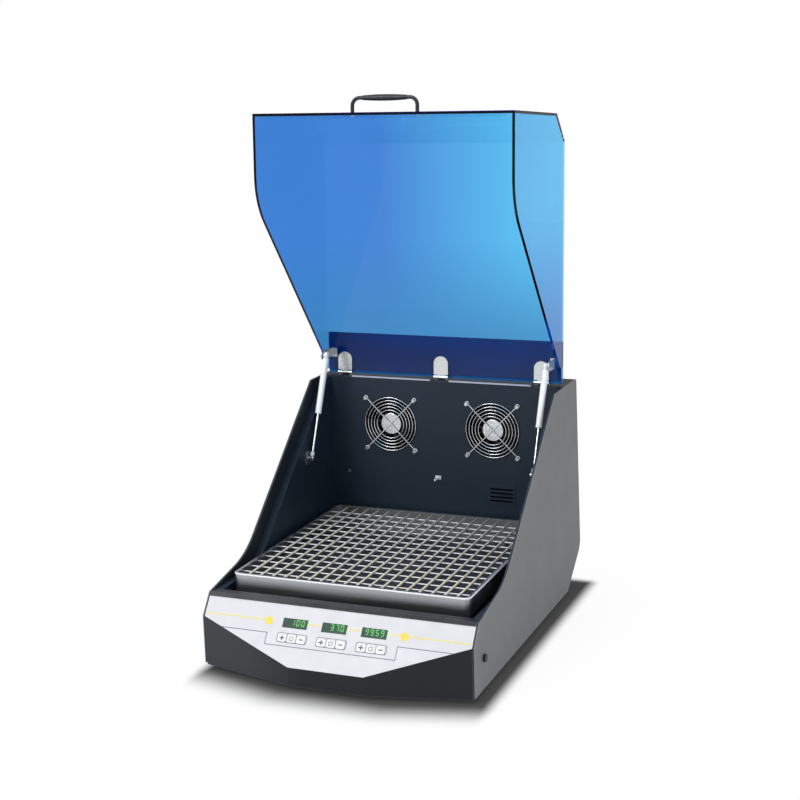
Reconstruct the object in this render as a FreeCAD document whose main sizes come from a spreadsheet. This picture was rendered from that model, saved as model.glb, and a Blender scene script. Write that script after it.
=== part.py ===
import FreeCAD, Part
import math
import os
import re
import Sketcher

# Benchtop shaking incubator with its hood open. Lengths are in millimetres.
# While it is modelled, X runs to the right, Y runs back from the lower front
# corner of the side cheeks and Z runs up from their lower edge. Every finished
# piece is then moved by the same step, which puts the origin on the table under
# the middle of the machine.

Vector = FreeCAD.Vector
Rotation = FreeCAD.Rotation

SIZES = {
    # Cabinet outline
    "width": 515.0,
    "cheek_wall": 4.5,
    "kink_height": 88.5,
    "lip_height": 125.0,
    "lip_setback": 27.0,
    "lip_depth": 18.0,
    "nose_bulge": 43.0,
    "nose_flat": 142.0,
    "skirt_drop": 3.0,
    "ramp_end_y": 168.0,
    "ramp_end_z": 151.0,
    "ramp_radius": 158.0,
    "roof_front_y": 478.0,
    "roof_height": 422.0,
    "roof_corner": 8.0,
    "rear_top_y": 624.0,
    "rear_low_y": 650.0,
    "rear_low_z": 69.0,
    "rear_corner": 30.0,
    "tail_y": 558.0,
    "steel": 2.0,
    "cover_wall": 2.5,
    "pan_front_y": 20.0,
    "pan_flange": 58.0,
    "foot_height": 12.0,
    "foot_radius": 14.0,
    "foot_taper": 2.0,
    "foot_inset": 42.0,
    # Chamber
    "liner_depth": 13.0,
    "liner_drop": 3.0,
    "liner_foot_z": 80.0,
    "ledge_height": 124.5,
    "ledge_drop": 44.0,
    "ledge_radius": 130.0,
    "floor_height": 96.0,
    "back_wall_y": 538.0,
    "back_wall_depth": 3.0,
    # Front panel, measured along the sloping face from the kink line
    "overlay": 1.0,
    "window_width": 47.0,
    "window_height": 17.0,
    "window_rise": 5.5,
    "station_pitch": 75.0,
    "key_width": 16.6,
    "key_height": 14.0,
    "key_corner": 3.0,
    "key_pitch": 18.2,
    "key_drop": 22.0,
    "key_proud": 1.6,
    "key_travel": 0.8,
    "key_flange": 1.5,
    "fit_gap": 0.2,
    "board_depth": 11.5,
    "board_sheet": 1.6,
    "board_half": 128.0,
    "switch_height": 3.5,
    "switch_side": 6.0,
    "stem_radius": 2.0,
    "standoff_radius": 3.0,
    "module_margin": 1.0,
    # Hood, drawn closed
    "hood_gap": 2.0,
    "acrylic": 5.0,
    "hood_front_y": 27.5,
    "hood_rake": 5.0,
    "hood_base_z": 126.0,
    "shoulder_drop": 54.5,
    "hood_bevel": 57.0,
    "hood_side_end": 515.0,
    "hood_edge_gap": 1.5,
    "open_angle": 92.5,
    "handle_span": 125.0,
    "handle_rise": 25.0,
    "handle_reach": 26.0,
    "handle_bend": 14.0,
    "handle_rod": 3.4,
    "grip_end": 4.2,
    "grip_middle": 5.8,
    "grip_half": 42.0,
    "handle_screw": 2.0,
    "drill_depth": 15.0,
    # Hinges
    "hinge_y": 548.0,
    "hinge_lift": 5.0,
    "hinge_inset": 31.0,
    "hinge_knuckle": 4.0,
    "hinge_pin": 2.0,
    "hinge_play": 0.05,
    "leaf_width": 30.0,
    "leaf_height": 42.0,
    "leaf_round": 14.4,
    "leaf_steel": 2.0,
    "leaf_tail": 32.0,
    "middle_knuckle": 15.0,
    "knuckle_gap": 0.3,
    "panel_gap": 1.0,
    "rail_height": 83.0,
    "rail_overhang": 2.0,
    "rail_steel": 3.0,
    "rail_inset": 22.5,
    # Gas springs
    "spring_inset": 9.0,
    "spring_foot_y": 418.0,
    "spring_foot_drop": 151.0,
    "spring_head_y": 505.0,
    "spring_head_lift": 42.0,
    "barrel_radius": 6.2,
    "barrel_bore": 4.8,
    "barrel_length": 121.0,
    "gland_length": 8.0,
    "head_solid": 20.8,
    "piston_height": 5.3,
    "rod_radius": 2.3,
    "rod_length": 115.0,
    "eye_radius": 6.0,
    "eye_thickness": 6.0,
    "stud_radius": 3.0,
    "stud_cap": 4.8,
    "bracket_steel": 2.0,
    "bracket_radius": 9.0,
    "bracket_corner": 7.2,
    "bracket_height": 27.0,
    "bracket_foot": 13.0,
    "bracket_gap": 0.5,
    # Orbital drive
    "orbit": 8.0,
    "spindle_y": 283.0,
    "spindle_radius": 8.0,
    "spindle_pulley": 58.0,
    "pulley_level": 50.0,
    "pulley_width": 12.0,
    "bearing_radius": 16.0,
    "bearing_width": 9.0,
    "bearing_lift": 10.0,
    "bearing_drop": 6.0,
    "spindle_lift": 8.0,
    "housing_radius": 22.0,
    "housing_flange": 40.0,
    "housing_base": 6.0,
    "housing_fillet": 2.0,
    "pulley_rim": 6.0,
    "pulley_web": 4.0,
    "pulley_hub": 17.5,
    "weight_radius": 46.0,
    "weight_height": 10.0,
    "journal_radius": 6.0,
    "motor_x": 150.0,
    "motor_radius": 32.0,
    "motor_height": 42.0,
    "motor_boss": 12.0,
    "boss_rise": 3.0,
    "motor_edge": 4.0,
    "motor_shaft": 4.0,
    "shaft_lift": 4.0,
    "flange_rim": 2.0,
    "flange_thickness": 1.0,
    "motor_pulley": 12.0,
    "belt_thickness": 2.0,
    "belt_gap": 0.3,
    "play": 0.05,
    "shield_radius": 28.0,
    "shield_thickness": 1.5,
    "shield_lift": 3.5,
    "crank_half": 150.0,
    "crank_rear": 115.0,
    "crank_front": 150.0,
    "crank_journal": 5.0,
    "crank_disc": 16.0,
    "crank_block": 14.0,
    "crank_depth": 34.0,
    "disc_thickness": 4.0,
    "block_flange": 20.0,
    "block_plate": 3.0,
    "pin_clearance": 3.0,
    "race_radius": 10.0,
    # Platform and tray
    "platform_low": 112.0,
    "platform_plate": 6.0,
    "platform_side": 380.0,
    "boss_radius": 16.0,
    "boss_depth": 7.5,
    "relief_radius": 20.0,
    "relief_x": 102.0,
    "relief_y": 76.0,
    "tray_screw_half": 160.0,
    "knob_radius": 8.0,
    "knob_height": 8.0,
    "tray_gap": 14.0,
    "tray_depth": 456.0,
    "tray_height": 34.0,
    "tray_wall": 1.5,
    "tray_corner": 12.0,
    "rim_width": 5.0,
    "rim_thickness": 2.0,
    "wire_rise": 30.0,
    "wire_radius": 1.6,
    "wire_pitch": 23.6,
    "cross_radius": 1.2,
    "cross_pitch": 30.0,
    # Fans and rear compartment
    "fan_x": 109.0,
    "fan_drop": 97.0,
    "fan_side": 119.0,
    "fan_depth": 25.0,
    "fan_bore": 57.5,
    "fan_hole_half": 52.5,
    "hub_radius": 21.0,
    "hub_depth": 15.0,
    "hub_face": 4.0,
    "stator_depth": 6.0,
    "pin_gap": 3.0,
    "strut_width": 4.0,
    "frame_corner": 4.0,
    "blade_thickness": 1.2,
    "blade_tip": 55.5,
    "blade_angle": 32.0,
    "fan_pin": 3.0,
    "guard_ring": 55.0,
    "guard_step": 6.5,
    "guard_wire": 1.1,
    "ear_radius": 4.0,
    "ear_thickness": 2.4,
    "screw_head": 3.6,
    "screw_height": 2.0,
    "screw_shank": 1.8,
    "wall_screw_inset": 37.0,
    "grille_x": 127.5,
    "grille_z": 194.5,
    "grille_width": 56.0,
    "grille_height": 40.0,
    "louvre_pitch": 8.0,
    "louvre_height": 4.0,
    "grille_thickness": 1.5,
    "slot_width": 4.0,
    "slot_pitch": 12.0,
    "slot_length": 105.0,
    "sensor_x": -7.0,
    "sensor_z": 221.0,
    "clip_width": 12.0,
    "clip_height": 8.0,
    "probe_radius": 2.0,
    "probe_reach": 20.0,
    "collar_length": 4.0,
    "heater_z": 215.0,
    "heater_reach": 45.0,
    "heater_half": 185.0,
    "fin_radius": 14.0,
    "fin_thickness": 1.5,
    "fin_spread": 314.0,
    "heater_bar": 5.0,
    "heater_bracket": 16.0,
    # Side button and mains inlet
    "button_y": 45.5,
    "button_z": 56.0,
    "button_radius": 7.0,
    "button_flange": 8.75,
    "button_proud": 5.0,
    "inlet_x": 180.0,
    "inlet_rise": 45.0,
    "inlet_width": 28.0,
    "inlet_height": 20.0,
    "inlet_depth": 20.0,
    "inlet_lip": 3.0,
    "supply_width": 120.0,
    "supply_depth": 90.0,
    "supply_height": 38.0,
    "supply_step": 16.0,
    "supply_inset": 16.0,
    "supply_y": 339.0,
}

# Sizes that follow others
FOLLOWING = {
    "chamber_half": "width / 2 - cheek_wall - liner_depth",
    "tray_width": "2 * (chamber_half - tray_gap)",
    "wall_screw_x": "chamber_half - wall_screw_inset",
    "hinge_z": "roof_height + hinge_lift",
    "hinge_pitch": "chamber_half - hinge_inset",
    "rail_half": "chamber_half - rail_inset",
    "hood_shoulder_z": "hinge_z + acrylic - shoulder_drop",
    "spring_half": "chamber_half - spring_inset",
    "spring_foot_z": "hinge_z - spring_foot_drop",
    "spring_head_z": "hinge_z + spring_head_lift",
    "fan_z": "roof_height - fan_drop",
}

STATION_NAMES = ("left", "middle", "right")
KEY_NAMES = ("plus", "set", "minus")
GUARD_RINGS = 5
FAN_BLADES = 7
HEATER_FINS = 11
LOUVRES = 4
REAR_SLOTS = 9

doc = FreeCAD.newDocument("ShakingIncubator")
sheet = doc.addObject("Spreadsheet::Sheet", "Sizes")
for row, (alias, value) in enumerate(SIZES.items(), start=1):
    sheet.set("A%d" % row, alias.replace("_", " "))
    sheet.set("B%d" % row, str(value))
    sheet.setAlias("B%d" % row, alias)
doc.recompute()

pieces = {}


# Expressions


def expr(text):
    """Turn plain size names into references to the sheet, and the names of sizes that
    follow others into their formulas."""
    def link(match):
        word = match.group()
        if word in FOLLOWING:
            return "(%s)" % expr(FOLLOWING[word])
        return "Sizes." + word if word in SIZES else word
    return re.sub(r"[a-z_0-9]+", link, str(text))


def num(text):
    """The present value of an expression, in mm or degrees."""
    value = sheet.evalExpression(expr(text))
    return float(getattr(value, "Value", value))


SLOPE = "((roof_height - ramp_end_z) / (roof_front_y - ramp_end_y))"
INNER_HALF = "(width / 2 - cheek_wall)"
HOOD_HALF = "(width / 2 - cheek_wall - hood_gap)"
FACE_ANGLE = "atan2(lip_height - kink_height; lip_setback)"
FACE_RISE = "sqrt((lip_height - kink_height)^2 + lip_setback^2)"
NOSE_SLANT = "(nose_bulge / (width / 2 - cheek_wall - nose_flat / 2))"
LIP_BACK = "(lip_setback + lip_depth)"
LEAN = "atan2(rear_low_y - rear_top_y; roof_height - rear_low_z)"
MIDDLE_Y = "((rear_low_y - nose_bulge) / 2)"
HOOD_TOP = "(hinge_z + acrylic)"
LINER_TOP = "(roof_height - liner_drop)"
FRONT_ANGLE = "atan2(hood_shoulder_z - hood_base_z; hood_rake)"
BEVEL_ANGLE = "atan2(%s - hood_shoulder_z; hood_bevel - hood_rake)" % HOOD_TOP
TRAY_LOW = "(platform_low + platform_plate)"
TRAY_MIDDLE = "(spindle_y + orbit)"
DISC_LEVEL = "(floor_height + shield_lift)"
WIRE_LEVEL = "(%s + wire_rise)" % TRAY_LOW
WALL_BACK = "(back_wall_y + back_wall_depth)"


def ledge_at(y, above="0"):
    """Height of the sloping part of the ledge at y, plus a distance above it."""
    return "(ramp_end_z + %s * (%s - ramp_end_y) - ledge_drop + %s)" % (SLOPE, y, above)


def ledge_y(z):
    """Y of the sloping part of the ledge at height z."""
    return "(ramp_end_y + (%s + ledge_drop - ramp_end_z) / %s)" % (z, SLOPE)


# Placing


def move(obj, at, turn=None, axis=Vector(1, 0, 0)):
    """Put an object's own origin at a point, turned about an axis."""
    if turn is not None:
        obj.Placement = FreeCAD.Placement(Vector(), Rotation(axis, num(turn)))
        obj.setExpression(".Placement.Rotation.Angle", expr(turn))
    for letter, value in zip("xyz", at):
        obj.setExpression(".Placement.Base." + letter, expr(value))
    return obj


def keep(obj, label, at=("0", "0", "0"), turn=None):
    """Name a finished piece and stand it on the table."""
    x, y, z = at
    move(obj, (x, "%s - %s" % (y, MIDDLE_Y), "%s + foot_height" % z), turn)
    obj.Label = label
    pieces[label] = obj
    return obj


def keep_on_hood(obj, label):
    """Finish a piece that was drawn on the closed hood, from the hinge axis."""
    return keep(obj, label, ("0", "hinge_y", "hinge_z"), "-open_angle")


def front_place():
    """Place and lean of the open hood's front panel, at its free edge."""
    y, z = from_hinge("hood_front_y", "hood_base_z")
    at = ("0", "hinge_y + %s * cos(open_angle) + %s * sin(open_angle)" % (y, z),
          "hinge_z - %s * sin(open_angle) + %s * cos(open_angle)" % (y, z))
    return at, "%s - 90 deg - open_angle * 1 deg" % FRONT_ANGLE


def keep_on_front(obj, label):
    """Finish a piece that was drawn on the hood's front panel, from its free edge."""
    return keep(obj, label, *front_place())


def keep_on_face(obj, label):
    """Finish a piece that was drawn on the sloping front, from the kink line."""
    return keep(obj, label, ("0", "0", "kink_height"), FACE_ANGLE)


# Sketched solids


def constrain_point(sketch, index, where, across, up):
    """Tie a point of a sketch to two expressions."""
    for kind, value in (("DistanceX", across), ("DistanceY", up)):
        name = "%s_%d_%d" % (kind, index, where)
        number = sketch.addConstraint(Sketcher.Constraint(kind, index, where, num(value)))
        sketch.renameConstraint(number, name)
        sketch.setExpression("Constraints." + name, expr(value))


def add_outline(sketch, corners):
    """Draw a closed outline. A corner is (across, up) or (across, up, radius)."""
    points = [Vector(num(c[0]), num(c[1]), 0) for c in corners]
    count = len(corners)
    starts, ends = [], []
    for i, corner in enumerate(corners):
        before = (points[i - 1] - points[i]).normalize()
        after = (points[(i + 1) % count] - points[i]).normalize()
        reach = 0.0
        if len(corner) == 3:
            half = before.getAngle(after) / 2
            reach = num(corner[2]) / math.tan(half)
        ends.append(points[i] + before * reach)
        starts.append(points[i] + after * reach)
    first = sketch.GeometryCount
    for i in range(count):
        sketch.addGeometry(Part.LineSegment(starts[i], ends[(i + 1) % count]))
    for i, corner in enumerate(corners):
        line_in, line_out = first + (i - 1) % count, first + i
        if len(corner) == 2:
            sketch.addConstraint(Sketcher.Constraint("Coincident", line_in, 2, line_out, 1))
            constrain_point(sketch, line_out, 1, corner[0], corner[1])
            continue
        before = (points[i - 1] - points[i]).normalize()
        after = (points[(i + 1) % count] - points[i]).normalize()
        radius = num(corner[2])
        bisector = (before + after).normalize()
        half = before.getAngle(after) / 2
        centre = points[i] + bisector * (radius / math.sin(half))
        middle = centre - bisector * radius
        arc = sketch.addGeometry(Part.Arc(ends[i], middle, starts[i]))
        left_turn = (before.x * after.y - before.y * after.x) < 0
        arc_in, arc_out = (1, 2) if left_turn else (2, 1)
        sketch.addConstraint(Sketcher.Constraint("Tangent", line_in, 2, arc, arc_in))
        sketch.addConstraint(Sketcher.Constraint("Tangent", arc, arc_out, line_out, 1))
        name = "Radius_%d" % arc
        number = sketch.addConstraint(Sketcher.Constraint("Radius", arc, radius))
        sketch.renameConstraint(number, name)
        sketch.setExpression("Constraints." + name, expr(corner[2]))
        corner_point = sketch.addGeometry(Part.Point(points[i]), True)
        for line in (line_in, line_out):
            sketch.addConstraint(Sketcher.Constraint("PointOnObject", corner_point, 1, line))
        constrain_point(sketch, corner_point, 1, corner[0], corner[1])


def add_circle(sketch, across, up, radius):
    """Draw a circle tied to expressions."""
    circle = Part.Circle(Vector(num(across), num(up), 0), Vector(0, 0, 1), num(radius))
    index = sketch.addGeometry(circle)
    constrain_point(sketch, index, 3, across, up)
    name = "Circle_%d" % index
    number = sketch.addConstraint(Sketcher.Constraint("Radius", index, num(radius)))
    sketch.renameConstraint(number, name)
    sketch.setExpression("Constraints." + name, expr(radius))


def new_sketch(body, plane, level="0"):
    """A sketch on one of the body's own planes, lifted to a level."""
    sketch = body.newObject("Sketcher::SketchObject", "Outline")
    support = [f for f in body.Origin.OriginFeatures if f.Role == plane + "_Plane"][0]
    sketch.AttachmentSupport = [(support, "")]
    sketch.MapMode = "FlatFace"
    sketch.setExpression(".AttachmentOffset.Base.z", expr(level))
    return sketch


def prism(plane, corners, length, holes=(), level="0", symmetric=False):
    """A body padded from one outline with round holes in it."""
    body = doc.addObject("PartDesign::Body", "Body")
    sketch = new_sketch(body, plane, level)
    add_outline(sketch, corners)
    for hole in holes:
        add_circle(sketch, *hole)
    pad = body.newObject("PartDesign::Pad", "Pad")
    pad.Profile = sketch
    pad.setExpression("Length", expr(length))
    pad.Midplane = symmetric
    return body


def spun(corners, plane="XZ"):
    """A body turned about the upright axis of its sketch."""
    body = doc.addObject("PartDesign::Body", "Body")
    sketch = new_sketch(body, plane)
    add_outline(sketch, corners)
    turn = body.newObject("PartDesign::Revolution", "Revolution")
    turn.Profile = sketch
    turn.ReferenceAxis = (sketch, ["V_Axis"])
    turn.Angle = 360
    return body


def rectangle(width, height, corner=None, x="0", y="0"):
    """Corners of a rectangle about a centre, rounded or square."""
    ends = ((-1, -1), (1, -1), (1, 1), (-1, 1))
    points = [("%s + %d * (%s) / 2" % (x, i, width), "%s + %d * (%s) / 2" % (y, j, height))
              for i, j in ends]
    return [p + (corner,) for p in points] if corner else points


# Primitives and booleans


def block(low, size):
    """A box from its lowest corner and its size."""
    box = doc.addObject("Part::Box", "Box")
    for name, value in zip(("Length", "Width", "Height"), size):
        box.setExpression(name, expr(value))
    return move(box, low)


def rod(start, along, radius, length):
    """A cylinder from the centre of one end, along X, Y or Z."""
    cylinder = doc.addObject("Part::Cylinder", "Cylinder")
    cylinder.setExpression("Radius", expr(radius))
    cylinder.setExpression("Height", expr(length))
    direction = {"X": Vector(1, 0, 0), "Y": Vector(0, 1, 0), "Z": Vector(0, 0, 1)}[along]
    cylinder.Placement = FreeCAD.Placement(Vector(), Rotation(Vector(0, 0, 1), direction))
    return move(cylinder, start)


def join(parts):
    """One solid from several that touch or overlap."""
    fusion = doc.addObject("Part::MultiFuse", "Fusion")
    fusion.Shapes = parts
    return fusion


def group(parts):
    """Several separate solids in one piece."""
    compound = doc.addObject("Part::Compound", "Compound")
    compound.Links = parts
    return compound


def cut(base, tools):
    """A solid with others taken away."""
    difference = doc.addObject("Part::Cut", "Cut")
    difference.Base = base
    difference.Tool = tools[0] if len(tools) == 1 else join(tools)
    return difference


def common(base, tool):
    """What two solids share."""
    shared = doc.addObject("Part::Common", "Common")
    shared.Base = base
    shared.Tool = tool
    return shared


# Cabinet shell


def make_cheeks():
    """Two flat side cheeks with the swept front edge; the right one has the button hole."""
    outline = [
        ("0", "0"),
        ("0", "kink_height"),
        ("lip_setback", "lip_height"),
        ("ramp_end_y", "ramp_end_z", "ramp_radius"),
        ("roof_front_y", "roof_height", "roof_corner"),
        ("rear_top_y", "roof_height", "roof_corner"),
        ("rear_low_y", "rear_low_z", "rear_corner"),
        ("tail_y", "0"),
    ]
    left = prism("YZ", outline, "cheek_wall")
    keep(left, "left_side_cheek", ("-width / 2", "0", "0"))
    hole = ("button_y", "button_z", "button_radius + fit_gap")
    right = prism("YZ", outline, "cheek_wall", [hole])
    keep(right, "right_side_cheek", ("width / 2 - cheek_wall", "0", "0"))


def make_liners():
    """Two inner walls whose top edge is the ledge that carries the closed hood."""
    outline = [
        (LIP_BACK, "liner_foot_z"),
        (LIP_BACK, "ledge_height"),
        (ledge_y("ledge_height"), "ledge_height", "ledge_radius"),
        (ledge_y(LINER_TOP), LINER_TOP),
        ("back_wall_y", LINER_TOP),
        ("back_wall_y", "liner_foot_z"),
    ]
    thickness = "%s - chamber_half" % INNER_HALF
    for side, start in (("left", "-%s" % INNER_HALF), ("right", "chamber_half")):
        keep(prism("YZ", outline, thickness), side + "_inner_wall", (start, "0", "0"))


def make_base_pan():
    """Folded floor pan with a front flange, between the cheeks."""
    outline = [
        ("pan_front_y", "0"),
        ("tail_y - steel", "0"),
        ("tail_y - steel", "steel"),
        ("pan_front_y + steel", "steel"),
        ("pan_front_y + steel", "pan_flange"),
        ("pan_front_y", "pan_flange"),
    ]
    keep(prism("YZ", outline, "2 * %s" % INNER_HALF, symmetric=True), "base_pan")


def nose_plan(setback, spread):
    """Plan outline of the faceted nose, set back by a wall and spread past the cheeks."""
    edge = "(width / 2 - cheek_wall + %s)" % spread
    side_y = "(%s + %s * %s)" % (setback, spread, NOSE_SLANT)
    front_y = "(%s - nose_bulge)" % setback
    back_y = "(%s + %s)" % (LIP_BACK, spread)
    return [
        ("-" + edge, side_y),
        ("-nose_flat / 2", front_y),
        ("nose_flat / 2", front_y),
        (edge, side_y),
        (edge, back_y),
        ("-" + edge, back_y),
    ]


def face_y(z, inset="0"):
    """Y of the sloping face at height z, moved in by a wall."""
    return "((%s - kink_height) / tan(%s) + %s / sin(%s))" % (z, FACE_ANGLE, inset, FACE_ANGLE)


def make_front_cover():
    """Faceted front cover: a plan prism and a slope prism, shelled, with its cut-outs."""
    low, lower = "(-skirt_drop)", "(-skirt_drop - steel)"
    lip_inside = "(lip_height - cover_wall)"
    back_inside = "(%s - cover_wall)" % LIP_BACK
    beyond = "(%s + steel)" % LIP_BACK
    outer_slope = [
        (face_y(low), low),
        ("lip_setback", "lip_height"),
        (LIP_BACK, "lip_height"),
        (LIP_BACK, low),
    ]
    inner_slope = [
        (face_y(lower, "cover_wall"), lower),
        (face_y(lip_inside, "cover_wall"), lip_inside),
        (back_inside, lip_inside),
        (back_inside, "floor_height"),
        (beyond, "floor_height"),
        (beyond, lower),
    ]
    height = "lip_height + skirt_drop"
    outer = common(prism("XY", nose_plan("0", "0"), height, level=low),
                   prism("YZ", outer_slope, "width", symmetric=True))
    inner_plan = nose_plan("cover_wall", "4 * cover_wall")
    inner = common(prism("XY", inner_plan, height + " + 2 * steel", level=lower),
                   prism("YZ", inner_slope, "width + 2 * cheek_wall", symmetric=True))
    openings = move(join(face_openings("-2 * cover_wall", "4 * cover_wall")),
                    ("0", "0", "kink_height"), FACE_ANGLE)
    keep(cut(outer, [inner, openings]), "front_cover")


def stations():
    """Side-to-side centres of the three display stations."""
    return [(name, "(%d * station_pitch)" % i) for name, i in zip(STATION_NAMES, (-1, 0, 1))]


def key_places():
    """Name and centre of each of the nine keys on the sloping face."""
    return [("%s_%s_key" % (name, key), "(%s + %d * key_pitch)" % (x, j))
            for name, x in stations() for key, j in zip(KEY_NAMES, (-1, 0, 1))]


def face_openings(level, depth):
    """Boxes that open the windows and key holes, on the sloping face."""
    cutters = []
    for name, x in stations():
        width, height = "(window_width + 2 * fit_gap)", "(window_height + 2 * fit_gap)"
        low = ("%s - %s / 2" % (x, width), "window_rise - %s / 2" % height, level)
        cutters.append(block(low, (width, height, depth)))
    for name, x in key_places():
        width, height = "(key_width + 2 * fit_gap)", "(key_height + 2 * fit_gap)"
        low = ("%s - %s / 2" % (x, width), "-key_drop - %s / 2" % height, level)
        cutters.append(block(low, (width, height, depth)))
    return cutters


def make_label_panel():
    """Thin white overlay on the sloping face, a hexagon with its openings."""
    edge = "(%s - fit_gap)" % INNER_HALF
    tip = "(-nose_bulge / cos(%s) + fit_gap)" % FACE_ANGLE
    outline = [
        ("-" + edge, "0"),
        ("-nose_flat / 2", tip),
        ("nose_flat / 2", tip),
        (edge, "0"),
        (edge, FACE_RISE),
        ("-" + edge, FACE_RISE),
    ]
    plate = prism("XY", outline, "overlay")
    keep_on_face(cut(plate, face_openings("-overlay", "3 * overlay")), "label_panel")


def make_display_windows():
    """Three windows, one above each row of keys."""
    windows = [prism("XY", rectangle("window_width", "window_height", None, x, "window_rise"),
                     "cover_wall", level="overlay - cover_wall")
               for name, x in stations()]
    keep_on_face(group(windows), "display_windows")


def make_keys():
    """Nine keys, each a rounded cap with a stop flange and a stem to its switch."""
    flange_top = "(-cover_wall - 0.5 * fit_gap)"
    stem_end = "(-board_depth + switch_height + key_travel + fit_gap)"
    for name, x in key_places():
        cap_outline = rectangle("key_width", "key_height", "key_corner", x, "-key_drop")
        rim_outline = rectangle("key_pitch - 4 * fit_gap", "key_height + key_flange",
                                "key_corner", x, "-key_drop")
        cap = prism("XY", cap_outline, "overlay + key_proud - %s" % flange_top, level=flange_top)
        rim = prism("XY", rim_outline, "key_flange", level="%s - key_flange" % flange_top)
        stem = rod((x, "-key_drop", stem_end), "Z", "stem_radius",
                   "%s - %s" % (flange_top, stem_end))
        keep_on_face(join([cap, rim, stem]), name)


def make_control_board():
    """Board with the display modules, the key switches and its four standoffs."""
    low_v, high_v = "(-key_drop - key_height)", "(window_rise + window_height)"
    plate_low = ("-board_half", low_v, "-board_depth - board_sheet")
    parts = [block(plate_low, ("2 * board_half", "%s - %s" % (high_v, low_v), "board_sheet"))]
    module_top = "(board_depth + overlay - cover_wall - fit_gap)"
    for name, x in stations():
        low = ("%s - window_width / 2 + module_margin" % x,
               "window_rise - window_height / 2 + module_margin", "-board_depth")
        parts.append(block(low, ("window_width - 2 * module_margin",
                                 "window_height - 2 * module_margin", module_top)))
    for name, x in key_places():
        low = ("%s - switch_side / 2" % x, "-key_drop - switch_side / 2", "-board_depth")
        parts.append(block(low, ("switch_side", "switch_side", "switch_height")))
    for i in (-1, 1):
        for v in (low_v + " + switch_side", high_v + " - switch_side"):
            start = ("%d * (board_half - switch_side)" % i, v, "-board_depth")
            parts.append(rod(start, "Z", "standoff_radius", "board_depth - cover_wall"))
    keep_on_face(join(parts), "control_board")


def make_back_wall():
    """Wall behind the chamber, with two fan openings and a small louvred grille."""
    outline = rectangle("2 * %s" % INNER_HALF, "roof_height - 2 * steel", None,
                        "0", "roof_height / 2")
    holes = [("%d * fan_x" % i, "fan_z", "fan_bore") for i in (-1, 1)]
    wall = move(prism("XZ", outline, "back_wall_depth", holes), ("0", WALL_BACK, "0"))
    plate = block(("grille_x - grille_width / 2", "back_wall_y - grille_thickness",
                   "grille_z - grille_height / 2"),
                  ("grille_width", "grille_thickness + back_wall_depth / 2", "grille_height"))
    slots = []
    for j in range(LOUVRES):
        z = "grille_z + (%s) * louvre_pitch" % (j - (LOUVRES - 1) / 2)
        low = ("grille_x - grille_width / 2 + louvre_height", "back_wall_y - 2 * grille_thickness",
               "%s - louvre_height / 2" % z)
        slots.append(block(low, ("grille_width - 2 * louvre_height",
                                 "2 * back_wall_depth + 2 * grille_thickness", "louvre_height")))
    keep(cut(join([wall, plate]), slots), "back_wall")


def make_rear_cover():
    """Folded roof, rear and tail of the fan compartment, with air slots and the inlet hole."""
    outer = [
        ("back_wall_y", "roof_height"),
        ("rear_top_y", "roof_height", "roof_corner"),
        ("rear_low_y", "rear_low_z", "rear_corner"),
        ("tail_y", "0"),
        ("back_wall_y", "0"),
    ]
    inner = [
        ("back_wall_y - steel", "roof_height - steel"),
        ("rear_top_y - steel", "roof_height - steel", "roof_corner - steel"),
        ("rear_low_y - steel", "rear_low_z + steel / 2", "rear_corner - steel"),
        ("tail_y - steel", "steel / 2"),
        ("tail_y - steel", "-steel"),
        ("back_wall_y - steel", "-steel"),
    ]
    shell = prism("YZ", outer, "2 * %s" % INNER_HALF, symmetric=True)
    core = prism("YZ", inner, "width + 2 * cheek_wall", symmetric=True)
    cutters = [core]
    for i in (-1, 1):
        for j in range(REAR_SLOTS):
            x = "%d * fan_x + %d * slot_pitch" % (i, j - REAR_SLOTS // 2)
            low = ("%s - slot_width / 2" % x, "rear_top_y - rear_corner", "fan_z - slot_length / 2")
            cutters.append(block(low, ("slot_width", "3 * rear_corner", "slot_length")))
    low = ("inlet_x - inlet_width / 2 - fit_gap", "tail_y",
           "rear_low_z + inlet_rise - inlet_height / 2 - steel / 2")
    cutters.append(block(low, ("inlet_width + 2 * fit_gap", "rear_low_y - tail_y + rear_corner",
                               "inlet_height + steel")))
    keep(cut(shell, cutters), "rear_cover")


def make_chamber_floor():
    """Chamber floor with a wide hole for the spindle and one for each crank."""
    outline = [
        ("-chamber_half", LIP_BACK),
        ("chamber_half", LIP_BACK),
        ("chamber_half", "back_wall_y"),
        ("-chamber_half", "back_wall_y"),
    ]
    holes = [("0", "spindle_y", "journal_radius + orbit + steel")]
    holes += [(x, y, "crank_journal + steel") for name, x, y in crank_places()]
    keep(prism("XY", outline, "steel", holes), "chamber_floor", ("0", "0", "floor_height"))


def make_feet():
    """Four rubber feet with a chamfered sole."""
    profile = [
        ("0", "0"),
        ("foot_radius - foot_taper", "0"),
        ("foot_radius", "foot_taper"),
        ("foot_radius", "foot_height"),
        ("0", "foot_height"),
    ]
    places = [("%d * (width / 2 - foot_inset)" % i, y, "-foot_height")
              for i in (-1, 1) for y in ("pan_front_y + foot_inset", "tail_y - foot_inset")]
    keep(group([move(spun(profile), place) for place in places]), "rubber_feet")


# Chamber fittings


def fan_centres():
    """Side-to-side centres of the two fans."""
    return [("left", "(-fan_x)"), ("right", "fan_x")]


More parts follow.
